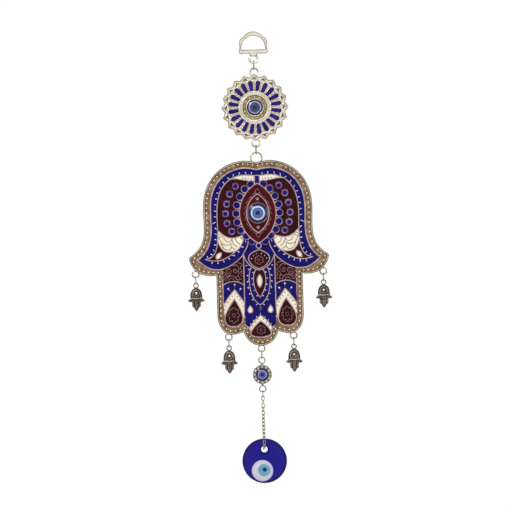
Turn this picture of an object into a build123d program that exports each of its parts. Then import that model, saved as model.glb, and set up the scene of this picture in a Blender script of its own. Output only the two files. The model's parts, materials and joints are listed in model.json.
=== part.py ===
from build123d import *
import math
import os

# Hamsa hand wall ornament, in millimetres. The front faces -Y and +Z is up.
# The origin is the point where the nail carries the hanger.

# Driving dimensions: the hand
hand_width = 109.4
grid_steps = 140                # the hand's tables are in 140ths of its width
hand_thickness = 3.0
rim_width = 1.0
border_wall = 0.8               # between the bead channel and the enamel
channel_depth = 1.0
border_width = 5.6
finger_border_width = 4.8
thumb_border_width = 4.4
wall_width = 0.7                # the metal walls between enamel cells
cell_depth = 0.8
enamel_thickness = 0.6
channel_bead_radius = 0.85
channel_bead_inset = 2.4        # from the hand's edge to the middle of the beads
channel_bead_pitch = 3.85
pin_radius = 0.45
pin_pitch = 4.4
lobe_pin_reach = 1.9            # from the wall's middle to the pins beside it
vesica_pin_reach = 1.5
pearl_pin_reach = 1.2
smallest_cell = 1.0             # square millimetres

# Driving dimensions: loops, links and running clearance
hook_clearance = 0.15
loop_wire = 1.1
loop_hole_radius = 2.0
large_loop_hole_radius = 2.5
hand_top_loop_hole_radius = 3.9
ring_wire = 1.0
ring_inner_length = 5.8
ring_inner_width = 3.2
charm_ring_wire = 0.8
charm_ring_inner_length = 5.6
charm_ring_inner_width = 2.6

# Driving dimensions: the hanger
hanger_width = 22.6
hanger_height = 16.8
hanger_thickness = 2.0
hanger_bar = 2.6
hanger_top_wall = 2.7
hanger_corner = 1.5
neck_top_width = 6.0
neck_bottom_width = 4.4
neck_length = 1.6
eyelet_hole_radius = 2.3
eyelet_wire = 1.7

# Driving dimensions: the medallion
medallion_radius = 26.5
medallion_thickness = 2.4
scallop_count = 20
scallop_height = 2.4
scallop_bulge = 0.1
lace_inner_radius = 21.9
lace_height = 2.2
lace_width = 4.0
lace_depth = 0.9
petal_inner_radius = 12.4
petal_outer_radius = 21.0
petal_inner_width = 1.6
petal_outer_width = 2.9
bezel_outer_radius = 11.1
bezel_height = 0.7
crown_outer_radius = 9.8
crown_inner_radius = 6.9
crown_depth = 0.8
crown_bead_count = 13
crown_bead_radius = 0.7
medallion_eye_radius = 6.3

# Driving dimensions: the charms
charm_height = 18.3
charm_width = 9.3
charm_thickness = 2.0
charm_loop_wire = 0.8
charm_loop_hole_radius = 1.4
charm_stone_radius = 1.35
charm_stone_edge = 0.5
charm_stone_dome = 0.45
charm_collet_wall = 0.7
charm_rim = 0.9
charm_relief = 0.5
charm_groove_width = 0.5
charm_bar_width = 0.9

# Driving dimensions: the pendant
pendant_radius = 7.5
pendant_thickness = 2.6
pendant_eye_radius = 5.0
pendant_loop_wire = 0.9
pendant_neck_length = 0.8
pendant_neck_width = 1.8
crystal_count = 12
crystal_radius = 0.8
crystal_seat_depth = 0.4
crystal_dome = 0.4

# Driving dimensions: the chain and the glass bead
chain_ring_radius = 2.7
chain_ring_wire = 0.7
chain_hook_clearance = 0.25
chain_wire = 0.6
chain_link_width = 3.0
chain_clearance = 0.1
chain_pitch = 2.9
strand_links = 13
segment_links = 5               # links of each strand in the upper and in the middle length
strand_gap = 2.3
bead_diameter = 35.0
bead_thickness = 5.4
bead_edge_thickness = 3.2
bead_edge_rounding = 1.2
bead_back_share = 0.46          # of the thickness lies behind the chain's middle
bead_hole_radius = 2.5
bead_hole_lip = 1.4
bead_hole_inset = 8.4
bead_hole_play = 0.7            # how far the chain's middle lies above the hole's
bead_layer_depth = 2.6
hole_link_angles = (15, 55)     # degrees that the last two links of a strand rise at
link_turn = 45                  # degrees that each link is turned about its strand, to one side or the other
turned_links = 6                # the first links, over which the turn grows from square on the ring

# Shared small values
glass_seat_depth = 0.9
eye_dome_share = 0.25
medallion_eye_shares = (0.83, 0.66, 0.24)
hand_eye_shares = (0.76, 0.53, 0.15)
pendant_eye_shares = (0.73, 0.52, 0.23)
overrun = 1.0
tall_cut = 10.0
loop_sink = 0.3                 # how far a cast loop runs into its plate
hand_loop_sink = 0.7
hand_top_loop_sink = 1.5

# Shares of the hand's width in 140ths, x to the right and y up from the palm's middle.
# Each run of three or more points is a smooth curve, and a run of two is a line.
crown_shares = [(0, 95.5), (6, 96.7), (13, 97.3), (20, 96.5), (30, 93.2), (40, 86.5), (48, 76.5),
                (52, 67.5), (54.3, 55), (54.3, 37.5), (55.3, 20.5), (59, 11.5), (65, 5), (69.8, 1.5)]
thumb_shares = [(69.8, 1.5), (69.3, -2.5), (67.5, -6.5), (62, -13), (55, -16.2), (43, -16.5)]
finger_side_shares = [(43, -16.5), (43, -57.5)]
finger_tip_shares = [(43, -57.5), (41.5, -66), (38, -72), (32, -76), (24, -75.8), (17.2, -73.7)]
middle_tip_shares = [(17.2, -73.7), (14.5, -80), (9, -85.5), (0, -88.2), (-9, -85.5), (-14.5, -80),
                     (-17.2, -73.7)]

palm_wave_shares = [(70, 3), (61.5, -1), (55, -6.5), (50, -9.5), (43, -11), (38, -10.8), (32, -9),
                    (25, -5), (20, -1), (15.5, 3)]
palm_point_shares = [(15.5, 3), (9, -8), (0, -12.5)]
palm_side_line_shares = [(17, 1.5), (14, 7), (11.5, 12), (10.5, 17)]

lobe_outer_shares = [(2.7, 82.3), (12, 83.2), (20, 82.3), (25, 80.3), (30, 77), (35, 71), (38, 65), (40, 57),
                     (41, 48), (41, 40), (40.8, 30), (41, 20), (42, 12), (44.5, 5), (48, 1.5), (54, -0.5)]
lobe_lower_shares = [(54, -0.5), (50, -1.6), (45, -2.2), (40, -2), (35, -0.5), (30, 2), (25, 5.5), (20, 9.5),
                     (17, 14), (14.5, 20)]
lobe_inner_shares = [(14.5, 20), (2.7, 75)]
crescent_lower_shares = [(26, 79.5), (21, 79.6), (15, 78.6), (9, 77.4), (2.7, 75.5)]
feather_top_shares = [(41.5, 29), (38, 26), (35, 23.3), (30, 20.8), (25, 20.4), (20, 21.4), (14.2, 24)]
feather_bottom_shares = [(14.2, 24), (15, 14), (19, 8.5), (25, 6.6), (30, 6.2), (35, 7.7), (39, 12.5),
                         (41.5, 20), (41.5, 29)]
leaf_place_share = (40.4, 2.8)
leaf_width_share = 4.4
leaf_length_share = 8.0
leaf_tilt = 38                  # degrees
stem_width_share = 5.0
stem_length_share = 8.5
stem_centre_share = 78.3

mandorla_tip_shares = (74.7, 14.5)
mandorla_half_width_share = 18.3
lens_tip_shares = (64, 25)
lens_half_width_share = 11.3
hand_eye_share = 10.0
hand_eye_centre_share = 44.8
scallop_radius_share = 3.6
scallop_centre_shares = [(6.3, 73.6), (12.5, 69), (17.5, 61.5), (20.8, 53), (21.6, 44.6), (20.8, 36),
                         (17.5, 28), (12, 22)]
ring_radius_share = 3.0
ring_centre_shares = [(21.8, 72), (27.7, 64.3), (31, 54.5), (32.5, 44.7), (31.2, 35), (26.7, 26.8)]

onion_shares = [(0, 8), (5, 6), (10.5, 0.5), (9.5, -4), (5.5, -8.5), (0, -11)]
little_petal_share = 12
little_petal_radius_share = 2.6

scroll_corner_shares = [(15.5, 3), (20, -1), (25, -5), (32, -9), (37, -10.6)]
scroll_floor_shares = [(37, -27), (26.5, -23.3), (15.8, -27)]
panel_side_shares = (15.8, 37)
panel_bottom_share = -52
finger_cream_left_shares = [(15.8, -45), (25.3, -31.5)]
finger_cream_right_shares = [(25.3, -31.5), (31.2, -38.3), (37, -47)]
finger_cream_foot_shares = [(37, -47), (37, -56.5), (15.8, -60), (15.8, -45)]
finger_drop_shares = [(26, -41), (31.3, -49), (35.2, -57), (35.6, -63), (32.5, -67.4), (27, -68.8),
                      (21.3, -67.2), (18, -62.5), (18.6, -56), (21.5, -48.7), (26, -41)]

column_half_share = 15.5
column_bottom_share = -70
vesica_line_shares = [(8, -9.5), (10.5, -19), (10, -28.5), (8, -37.5), (4.5, -43.5), (0, -47.5)]
vesica_shares = [(0, -9), (4, -12.5), (6.2, -22.5), (5, -30.5), (2.4, -36.3), (0, -39.8)]
vesica_pearl_width_share = 5.2
vesica_pearl_length_share = 13.0
vesica_pearl_centre_share = -23.3
column_pearl_shares = [(10.2, -48), (11.9, -50.4), (12.6, -53.2), (11.8, -54.8), (10.2, -55.3),
                       (8.6, -54.8), (7.8, -53.2), (8.5, -50.4), (10.2, -48)]
lotus_cream_shares = [(0, -58), (5, -62), (9.5, -67.3), (13.6, -75)]
lotus_foot_shares = [(13.6, -75), (10, -77), (0, -77)]
lotus_drop_shares = [(0, -63.5), (5, -67.7), (9.2, -73.2), (10.4, -76.6), (6.5, -79), (0, -80)]

# Where each of the hand's loops meets its edge, and the angle that it leads away at, in degrees
hand_top_loop_shares = (0, 95.5, 90)
thumb_loop_shares = (62, -13, -47)
finger_loop_shares = (32, -76, -79)
bottom_loop_shares = (0, -88.2, -90)

# Shares of the hanger's half width and of its height, from the nail point
hanger_outline_shares = [(0, 0.16), (0.25, 0.14), (0.46, 0.06), (0.62, -0.08)]
hanger_shoulder_shares = [(0.62, -0.08), (0.74, -0.11), (0.88, -0.18), (0.94, -0.34), (0.93, -0.55),
                          (1.0, -0.72)]
# Shares of the hanger's half width and of the opening's height
hanger_opening_shares = [(0.86, -1.0), (0.84, -0.78), (0.79, -0.55), (0.65, -0.31), (0.36, -0.08), (0, 0)]

# Shares of the charm's half width and height, from the middle of its crossbar's lower edge
charm_dome_shares = [(0, 0.48), (0.45, 0.45), (0.82, 0.34), (0.98, 0.2), (1.0, 0.06)]
charm_wing_shares = [(1.0, 0.06), (1.16, 0.0), (1.42, -0.07), (1.12, -0.11), (0.78, -0.12)]
charm_finger_shares = [(0.78, -0.12), (0.74, -0.26), (0.62, -0.34), (0.42, -0.36)]
charm_tip_shares = [(0.42, -0.36), (0.28, -0.44), (0, -0.52)]
charm_stone_share = 0.25
charm_groove_shares = (0.36, -0.05, -0.33)

# Shares of the bead's radius: where each glass layer's middle lies, and its radius
bead_layer_shares = [(-0.112, -0.434, 0.48), (-0.036, -0.409, 0.291), (-0.009, -0.383, 0.094)]

step = hand_width / grid_steps
front = Plane.XZ.location


def on_grid(points):
    """Points of the hand's grid, in millimetres."""
    return [(x * step, y * step) for x, y in points]


def scaled(points, x_size, y_size):
    return [(x * x_size, y * y_size) for x, y in points]


def smooth(points):
    """Arcs, one between each two points, that follow a smooth curve through them."""
    guide = Spline(*points)
    spans = len(points) - 1
    at = [guide @ (i / (2 * spans)) for i in range(2 * spans + 1)]
    return [ThreePointArc(at[2 * i], at[2 * i + 1], at[2 * i + 2]).edge() for i in range(spans)]


def edges_of(run):
    if len(run) == 2:
        return [Line(*run).edge()]
    return smooth(run)


def area(*runs):
    """The face inside runs of points that join end to end."""
    edges = []
    for run in runs:
        edges += edges_of(run)
    return make_face(Wire(edges))


def polygon(points):
    return make_face(Polyline(*points, close=True))


def flipped(run):
    """The run on the other side of the upright middle line, in the opposite order."""
    return [(-x, y) for x, y in reversed(run)]


def symmetric_area(*runs):
    """The face whose right side is drawn from the top of the middle line to its bottom."""
    return area(*runs, *[flipped(run) for run in reversed(runs)])


def mirrored(shape):
    return shape.mirror(Plane.YZ)


def both_sides(shapes):
    return shapes + [mirrored(shape) for shape in shapes]


def grown(shape, amount):
    return offset(shape, amount, kind=Kind.ARC)


def lens(tips, half_width):
    top, bottom = tips
    middle = (top + bottom) / 2
    right = ThreePointArc((0, top), (half_width, middle), (0, bottom))
    left = ThreePointArc((0, bottom), (-half_width, middle), (0, top))
    return make_face(Wire([right.edge(), left.edge()]))


def circle_at(point, radius):
    return Pos(*point) * Circle(radius)


def cell(shape, *children):
    """An enamel cell: the shape less half a wall, and less what lies on it with half a wall."""
    region = grown(shape, -wall_width / 2)
    for child in children:
        region = region - grown(child, wall_width / 2)
    return region


def ribbon(points):
    """A wall that runs along a line of points."""
    guide = Spline(*points)
    spans = len(points) - 1
    left = []
    right = []
    for i in range(spans + 1):
        at = guide @ (i / spans)
        aside = (guide % (i / spans)).rotate(Axis.Z, 90) * (wall_width / 2)
        left.append((at.X + aside.X, at.Y + aside.Y))
        right.append((at.X - aside.X, at.Y - aside.Y))
    right.reverse()
    return area(left, [left[-1], right[0]], right, [right[-1], left[0]])


def pins_along(points, reach, pitch=pin_pitch):
    """Round pins beside a curve, at even spaces along it, on its left where the reach is positive."""
    line = Wire(edges_of(points))
    count = int(line.length / pitch)
    pins = []
    for i in range(count):
        at = line @ ((i + 0.5) / count)
        along = line % ((i + 0.5) / count)
        pins.append(Pos(at.X - along.Y * reach, at.Y + along.X * reach) * Circle(pin_radius))
    return pins


def loop(centre, hole_radius, wire):
    """A round wire loop that lies in the plate's plane."""
    return Pos(centre[0], centre[1], 0) * Torus(hole_radius + wire / 2, wire / 2)


def placed(shape, drop, x=0, y=0):
    """Stands a shape drawn flat upright, that far below the nail."""
    return Pos(x, y, -drop) * (front * shape)


def save(name, shape):
    solids = shape if isinstance(shape, list) else [shape]
    pieces = []
    for piece in solids:
        pieces += piece.solids()
    model = pieces[0] if len(pieces) == 1 else Compound(children=pieces)
    model.label = name
    export_step(model, os.path.join("parts", name + ".step"))


# Heights of the hanging points, each worked out from the one above it
def hand_loop(loop_shares, hole_radius=loop_hole_radius, sink=hand_loop_sink):
    """The middle of a loop at the hand's edge, from the palm's middle."""
    x, y, angle = loop_shares
    reach = hole_radius + loop_wire - sink
    return (x * step + reach * math.cos(math.radians(angle)), y * step + reach * math.sin(math.radians(angle)))


def below_hook(hook_drop, hook_wire, inner_length, wire):
    """The drop of a link's lower wire when its upper end hangs over a wire."""
    return hook_drop - hook_wire / 2 - hook_clearance + inner_length + wire / 2


def loop_drop(wire_drop, wire, hole_radius):
    """The drop of a loop's middle when it hangs on a wire."""
    return wire_drop - wire / 2 - hook_clearance + hole_radius


bar_drop = hanger_height - hanger_top_wall
eyelet_drop = bar_drop + neck_length + eyelet_hole_radius + eyelet_wire / 2 - loop_sink
hanger_hook_drop = eyelet_drop + eyelet_hole_radius + eyelet_wire / 2
hanger_ring_drop = below_hook(hanger_hook_drop, eyelet_wire, ring_inner_length, ring_wire)
medallion_loop_drop = loop_drop(hanger_ring_drop, ring_wire, large_loop_hole_radius)
medallion_loop_offset = medallion_radius - scallop_height / 2 + large_loop_hole_radius
medallion_drop = medallion_loop_drop + medallion_loop_offset
medallion_hook_drop = medallion_drop + medallion_loop_offset + large_loop_hole_radius + loop_wire / 2
medallion_ring_drop = below_hook(medallion_hook_drop, loop_wire, ring_inner_length, ring_wire)
hand_loop_drop = loop_drop(medallion_ring_drop, ring_wire, hand_top_loop_hole_radius)
hand_top_loop = hand_loop(hand_top_loop_shares, hand_top_loop_hole_radius, hand_top_loop_sink)
hand_drop = hand_loop_drop + hand_top_loop[1]
loop_hook_offset = loop_hole_radius + loop_wire / 2
charm_loop_offset = (charm_dome_shares[0][1] * charm_height + charm_loop_hole_radius + charm_loop_wire
                     - loop_sink)


def charm_hook(loop_shares):
    """The place and drop of the wire that carries a charm's ring."""
    x, y = hand_loop(loop_shares)
    return x, hand_drop - y + loop_hook_offset


def charm_wire_drop(hook_drop):
    return below_hook(hook_drop, loop_wire, charm_ring_inner_length, charm_ring_wire)


pendant_hook_drop = hand_drop - hand_loop(bottom_loop_shares)[1] + loop_hook_offset
pendant_ring_drop = charm_wire_drop(pendant_hook_drop)
pendant_top_loop_drop = loop_drop(pendant_ring_drop, charm_ring_wire, loop_hole_radius)
pendant_loop_offset = pendant_radius + pendant_neck_length + loop_hole_radius + pendant_loop_wire
pendant_drop = pendant_top_loop_drop + pendant_loop_offset
chain_hook_drop = pendant_drop + pendant_loop_offset + loop_hole_radius + pendant_loop_wire / 2
chain_ring_centre_drop = (chain_hook_drop - pendant_loop_wire / 2 - hook_clearance - chain_ring_wire / 2
                          + chain_ring_radius)
strand_side = strand_gap / 2
chain_joint_drop = chain_ring_centre_drop + math.sqrt(chain_ring_radius ** 2 - strand_side ** 2)


def strand_nodes():
    """The places (y, drop) between one strand's links, from the ring down to the bead's hole."""
    steep, flat = hole_link_angles[1], hole_link_angles[0]
    out = chain_pitch * (math.cos(math.radians(steep)) + math.cos(math.radians(flat)))
    down = chain_pitch * (math.sin(math.radians(steep)) + math.sin(math.radians(flat)))
    top = (strand_side, chain_joint_drop - chain_ring_wire / 2 - chain_hook_clearance)
    spread = out - strand_side
    fall = math.sqrt((strand_links * chain_pitch) ** 2 - spread ** 2)
    nodes = []
    for i in range(strand_links + 1):
        share = i / strand_links
        nodes.append((top[0] + spread * share, top[1] + fall * share))
    middle_drop = top[1] + fall + down
    nodes.append((chain_pitch * math.cos(math.radians(flat)),
                  middle_drop - chain_pitch * math.sin(math.radians(flat))))
    nodes.append((0, middle_drop))
    return nodes


bead_axis_drop = strand_nodes()[-1][1]
bead_radius = bead_diameter / 2
bead_hole_offset = bead_radius - bead_hole_inset
bead_drop = bead_axis_drop + bead_hole_play + bead_hole_offset


def make_hanger():
    half = hanger_width / 2
    bar_bottom = -bar_drop
    opening_bottom = bar_bottom + hanger_bar
    outline = scaled(hanger_outline_shares, half, hanger_height)
    shoulder = scaled(hanger_shoulder_shares, half, hanger_height)
    foot = (half, bar_bottom)
    right = [outline, shoulder, [shoulder[-1], foot]]
    left = [flipped(run) for run in reversed(right)]
    frame = area(*right, [foot, (-half, bar_bottom)], *left)
    frame = fillet(frame.vertices().group_by(Axis.Y)[0], hanger_corner)
    arch = scaled(hanger_opening_shares, half, -opening_bottom)
    opening = area([(-arch[0][0], opening_bottom), arch[0]], arch, flipped(arch))
    opening = fillet(opening.vertices().group_by(Axis.Y)[0], hanger_corner / 2)
    neck_bottom = -eyelet_drop + eyelet_hole_radius
    neck = polygon([(-neck_top_width / 2, opening_bottom - hanger_bar / 2),
                    (neck_top_width / 2, opening_bottom - hanger_bar / 2),
                    (neck_bottom_width / 2, neck_bottom), (-neck_bottom_width / 2, neck_bottom)])
    flat = frame - opening + neck
    body = extrude(Pos(0, 0, -hanger_thickness / 2) * flat, hanger_thickness)
    body -= Pos(0, -eyelet_drop) * Cylinder(eyelet_hole_radius, hanger_thickness + overrun)
    body += loop((0, -eyelet_drop), eyelet_hole_radius, eyelet_wire)
    return placed(body, 0)


def oval_ring(inner_length, inner_width, wire):
    """An oval link in the upright plane through the ornament's front and back."""
    end_radius = (inner_width + wire) / 2
    half_run = (inner_length + wire) / 2 - end_radius
    right = Line((end_radius, -half_run), (end_radius, half_run))
    top = ThreePointArc((end_radius, half_run), (0, half_run + end_radius), (-end_radius, half_run))
    left = Line((-end_radius, half_run), (-end_radius, -half_run))
    bottom = ThreePointArc((-end_radius, -half_run), (0, -half_run - end_radius), (end_radius, -half_run))
    path = Plane.YZ * Wire([right.edge(), top.edge(), left.edge(), bottom.edge()])
    section = Plane(origin=path @ 0, z_dir=path % 0) * Circle(wire / 2)
    return sweep(section, path)


def hung_ring(wire_drop, inner_length, inner_width, wire):
    """A link whose lower wire is that far below the nail."""
    ring = oval_ring(inner_length, inner_width, wire)
    return Pos(0, 0, -wire_drop + (inner_length + wire) / 2) * ring


def glass_profile(radius, edge_height, dome_height):
    """Half the section of a round glass blank with a domed front, its back on zero."""
    dome_radius = (radius ** 2 + dome_height ** 2) / (2 * dome_height)
    centre = edge_height + dome_height - dome_radius
    half_angle = math.asin(radius / dome_radius) / 2
    on_dome = (dome_radius * math.sin(half_angle), centre + dome_radius * math.cos(half_angle))
    apex = (0, edge_height + dome_height)
    return make_face(Wire([
        Line((0, 0), (radius, 0)).edge(),
        Line((radius, 0), (radius, edge_height)).edge(),
        ThreePointArc((radius, edge_height), on_dome, apex).edge(),
        Line(apex, (0, 0)).edge(),
    ]))


def turned(profile):
    return revolve(Plane.XZ * profile, Axis.Z)


def save_eye(name, radius, ring_shares, drop, seat_height):
    """A small glass eye of four round layers, each set into the one outside it."""
    dome_height = radius * eye_dome_share
    profile = glass_profile(radius, glass_seat_depth, dome_height)
    rings = [radius * share for share in ring_shares] + [0]
    floor = glass_seat_depth / 2
    tall = glass_seat_depth + dome_height
    for i, part in enumerate(("white", "iris", "pupil")):
        wide = rings[i] - rings[i + 1]
        window = Pos(rings[i + 1] + wide / 2, floor + tall / 2) * Rectangle(wide, tall)
        layer = turned(profile & window)
        save(name + "_" + part, placed(Pos(0, 0, seat_height) * layer, drop))
    pocket = Pos(rings[0] / 2, floor + tall / 2) * Rectangle(rings[0], tall)
    rim = turned(profile - pocket)
    save(name + "_rim", placed(Pos(0, 0, seat_height) * rim, drop))


def make_medallion():
    turn = 360 / scallop_count
    valley_radius = medallion_radius - scallop_height

    def polar(radius, angle):
        return (radius * math.sin(math.radians(angle)), radius * math.cos(math.radians(angle)))

    edges = []
    for i in range(scallop_count):
        start = polar(valley_radius, (i - 0.5) * turn)
        tip = polar(medallion_radius, i * turn)
        end = polar(valley_radius, (i + 0.5) * turn)
        middle_radius = (valley_radius + medallion_radius) / 2 + scallop_bulge
        edges.append(ThreePointArc(start, polar(middle_radius, (i - 0.25) * turn), tip).edge())
        edges.append(ThreePointArc(tip, polar(middle_radius, (i + 0.25) * turn), end).edge())
    disc = make_face(Wire(edges))
    top = medallion_thickness / 2
    plate = extrude(Pos(0, 0, -top) * disc, medallion_thickness)
    plate += extrude(Pos(0, 0, top) * Circle(bezel_outer_radius), bezel_height)
    for side in (1, -1):
        plate += loop((0, side * medallion_loop_offset), large_loop_hole_radius, loop_wire)

    petal = polygon([(-petal_inner_width / 2, petal_inner_radius), (petal_inner_width / 2, petal_inner_radius),
                     (petal_outer_width / 2, petal_outer_radius - petal_outer_width / 2),
                     (-petal_outer_width / 2, petal_outer_radius - petal_outer_width / 2)])
    petal += Pos(0, petal_outer_radius - petal_outer_width / 2) * Circle(petal_outer_width / 2)
    lace = polygon([(-lace_width / 2, lace_inner_radius), (lace_width / 2, lace_inner_radius),
                    (0, lace_inner_radius + lace_height)])
    petals = [Rot(0, 0, (i + 0.5) * turn) * petal for i in range(scallop_count)]
    laces = [Rot(0, 0, i * turn) * lace for i in range(scallop_count)]
    cuts = []
    for outline in petals:
        cuts.append(extrude(Pos(0, 0, top - cell_depth) * outline, cell_depth + overrun))
    for outline in laces:
        cuts.append(extrude(Pos(0, 0, top - lace_depth) * outline, lace_depth + overrun))
    crown_top = top + bezel_height
    crown = Circle(crown_outer_radius) - Circle(crown_inner_radius)
    cuts.append(extrude(Pos(0, 0, crown_top - crown_depth) * crown, crown_depth + overrun))
    seat = Circle(medallion_eye_radius)
    cuts.append(extrude(Pos(0, 0, crown_top - glass_seat_depth) * seat, glass_seat_depth + overrun))
    plate = plate - cuts
    bead_ring = (crown_outer_radius + crown_inner_radius) / 2
    beads = []
    for i in range(crown_bead_count):
        x, y = polar(bead_ring, i * 360 / crown_bead_count)
        beads.append(Pos(x, y, crown_top - crown_depth) * Sphere(crown_bead_radius))
    plate = plate + beads
    enamel = [extrude(Pos(0, 0, top - cell_depth) * outline, enamel_thickness) for outline in petals]
    save("medallion_plate", placed(plate, medallion_drop))
    save("medallion_enamel", placed(Compound(children=enamel), medallion_drop))
    save_eye("medallion_eye", medallion_eye_radius, medallion_eye_shares, medallion_drop,
             crown_top - glass_seat_depth)


def palm_shapes():
    """The outlines of the palm's enamel pattern, those beside the middle on the right side only."""
    half_leaf = leaf_length_share * step / 2
    leaf = Rot(0, 0, leaf_tilt) * lens((half_leaf, -half_leaf), leaf_width_share * step / 2)
    lobe = area(on_grid(lobe_outer_shares), on_grid(lobe_lower_shares), on_grid(lobe_inner_shares),
                on_grid([lobe_inner_shares[-1], lobe_outer_shares[0]]))
    high = hand_width
    crescent_edge = on_grid(crescent_lower_shares)
    above_crescent = area(crescent_edge, [crescent_edge[-1], (0, high)], [(0, high), (high, high)],
                          [(high, high), crescent_edge[0]])
    return {
        "lobe": lobe,
        "crescent": lobe & above_crescent,
        "feather": area(on_grid(feather_top_shares), on_grid(feather_bottom_shares)) & lobe,
        "leaf": Pos(*on_grid([leaf_place_share])[0]) * leaf,
        "mandorla": lens([tip * step for tip in mandorla_tip_shares], mandorla_half_width_share * step),
        "lens": lens([tip * step for tip in lens_tip_shares], lens_half_width_share * step),
        "stem": Pos(0, stem_centre_share * step) * Rectangle(stem_width_share * step,
                                                             stem_length_share * step),
        "onion": symmetric_area(on_grid(onion_shares)),
        "petal": circle_at((0, little_petal_share * step), little_petal_radius_share * step),
        "scallops": [circle_at(at, scallop_radius_share * step) for at in on_grid(scallop_centre_shares)],
        "rings": [circle_at(at, ring_radius_share * step) for at in on_grid(ring_centre_shares)],
    }


def palm_cells(palm, eye_seat):
    """The palm's enamel cells, by colour."""
    at = palm_shapes()
    scallops = at["scallops"]
    pins = pins_along(on_grid(lobe_outer_shares), lobe_pin_reach)
    pins += pins_along(on_grid(lobe_lower_shares[1:]), lobe_pin_reach)
    side_lines = [ribbon(on_grid(palm_side_line_shares))]
    blue = cell(palm, at["mandorla"], at["stem"], at["onion"], at["petal"],
                *both_sides([at["lobe"]] + scallops))
    blue = blue - both_sides(pins) - both_sides(side_lines)
    beside = [cell(ring) for ring in at["rings"]]
    for i, scallop in enumerate(scallops):
        beside.append(cell(scallop, at["mandorla"], *scallops[:i][-1:]))
    maroon = cell(at["lobe"], at["crescent"], at["feather"], at["leaf"], at["mandorla"], *scallops,
                  *at["rings"])
    crescent = cell(at["crescent"], at["stem"], at["mandorla"], scallops[0])
    feather = cell(at["feather"], at["mandorla"], scallops[-1], scallops[-2])
    return {
        "enamel_palm_blue": [blue, cell(at["stem"], at["mandorla"]), cell(at["petal"], at["mandorla"],
                             at["onion"])] + both_sides(beside),
        "enamel_palm_maroon": [cell(at["onion"])] + both_sides([maroon]),
        "enamel_palm_cream": both_sides([crescent, feather, cell(at["leaf"])]),
        "enamel_mandorla_red": [cell(at["mandorla"], at["lens"]), cell(at["lens"], eye_seat)],
    }


def finger_cells(finger_space):
    """The enamel cells of the three fingers, by colour."""
    left, right = [share * step for share in panel_side_shares]
    low = panel_bottom_share * step
    arch = on_grid(scroll_floor_shares)
    corner = on_grid(scroll_corner_shares)
    scroll = area(corner, [corner[-1], arch[0]], arch, [arch[-1], corner[0]])
    panel = area(arch, [arch[-1], (left, low)], [(left, low), (right, low)], [(right, low), arch[0]])
    foot = on_grid(finger_cream_foot_shares)
    cream = area(on_grid(finger_cream_left_shares), on_grid(finger_cream_right_shares), foot[0:2], foot[1:3],
                 foot[2:4])
    drop = area(on_grid(finger_drop_shares))

    point = on_grid(palm_point_shares)
    half = column_half_share * step
    base = column_bottom_share * step
    column = symmetric_area(list(reversed(point)), [point[0], (half, base)], [(half, base), (0, base)])
    column = column & finger_space
    lotus_foot = on_grid(lotus_foot_shares)
    lotus = symmetric_area(on_grid(lotus_cream_shares), lotus_foot[0:2], lotus_foot[1:3]) & finger_space
    lotus_drop = symmetric_area(on_grid(lotus_drop_shares))
    vesica = symmetric_area(on_grid(vesica_shares)) & column
    half_pearl = vesica_pearl_length_share * step / 2
    pearl = Pos(0, vesica_pearl_centre_share * step) * lens((half_pearl, -half_pearl),
                                                            vesica_pearl_width_share * step / 2)
    side_pearl = area(on_grid(column_pearl_shares))
    pins = pins_along(on_grid(vesica_line_shares), vesica_pin_reach)
    pins += pins_along(on_grid(vesica_shares[1:]), pearl_pin_reach)
    line = ribbon(on_grid(vesica_line_shares))
    blue = cell(column, lotus, vesica, *both_sides([side_pearl])) - both_sides(pins + [line])
    return {
        "enamel_finger_blue": [blue] + both_sides([cell(panel, cream)]),
        "enamel_finger_maroon": [cell(vesica, pearl), cell(lotus_drop)] + both_sides([cell(scroll),
                                                                                      cell(drop)]),
        "enamel_finger_cream": [cell(lotus, lotus_drop), cell(pearl)] + both_sides([cell(cream, drop),
                                                                                   cell(side_pearl)]),
    }


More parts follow.
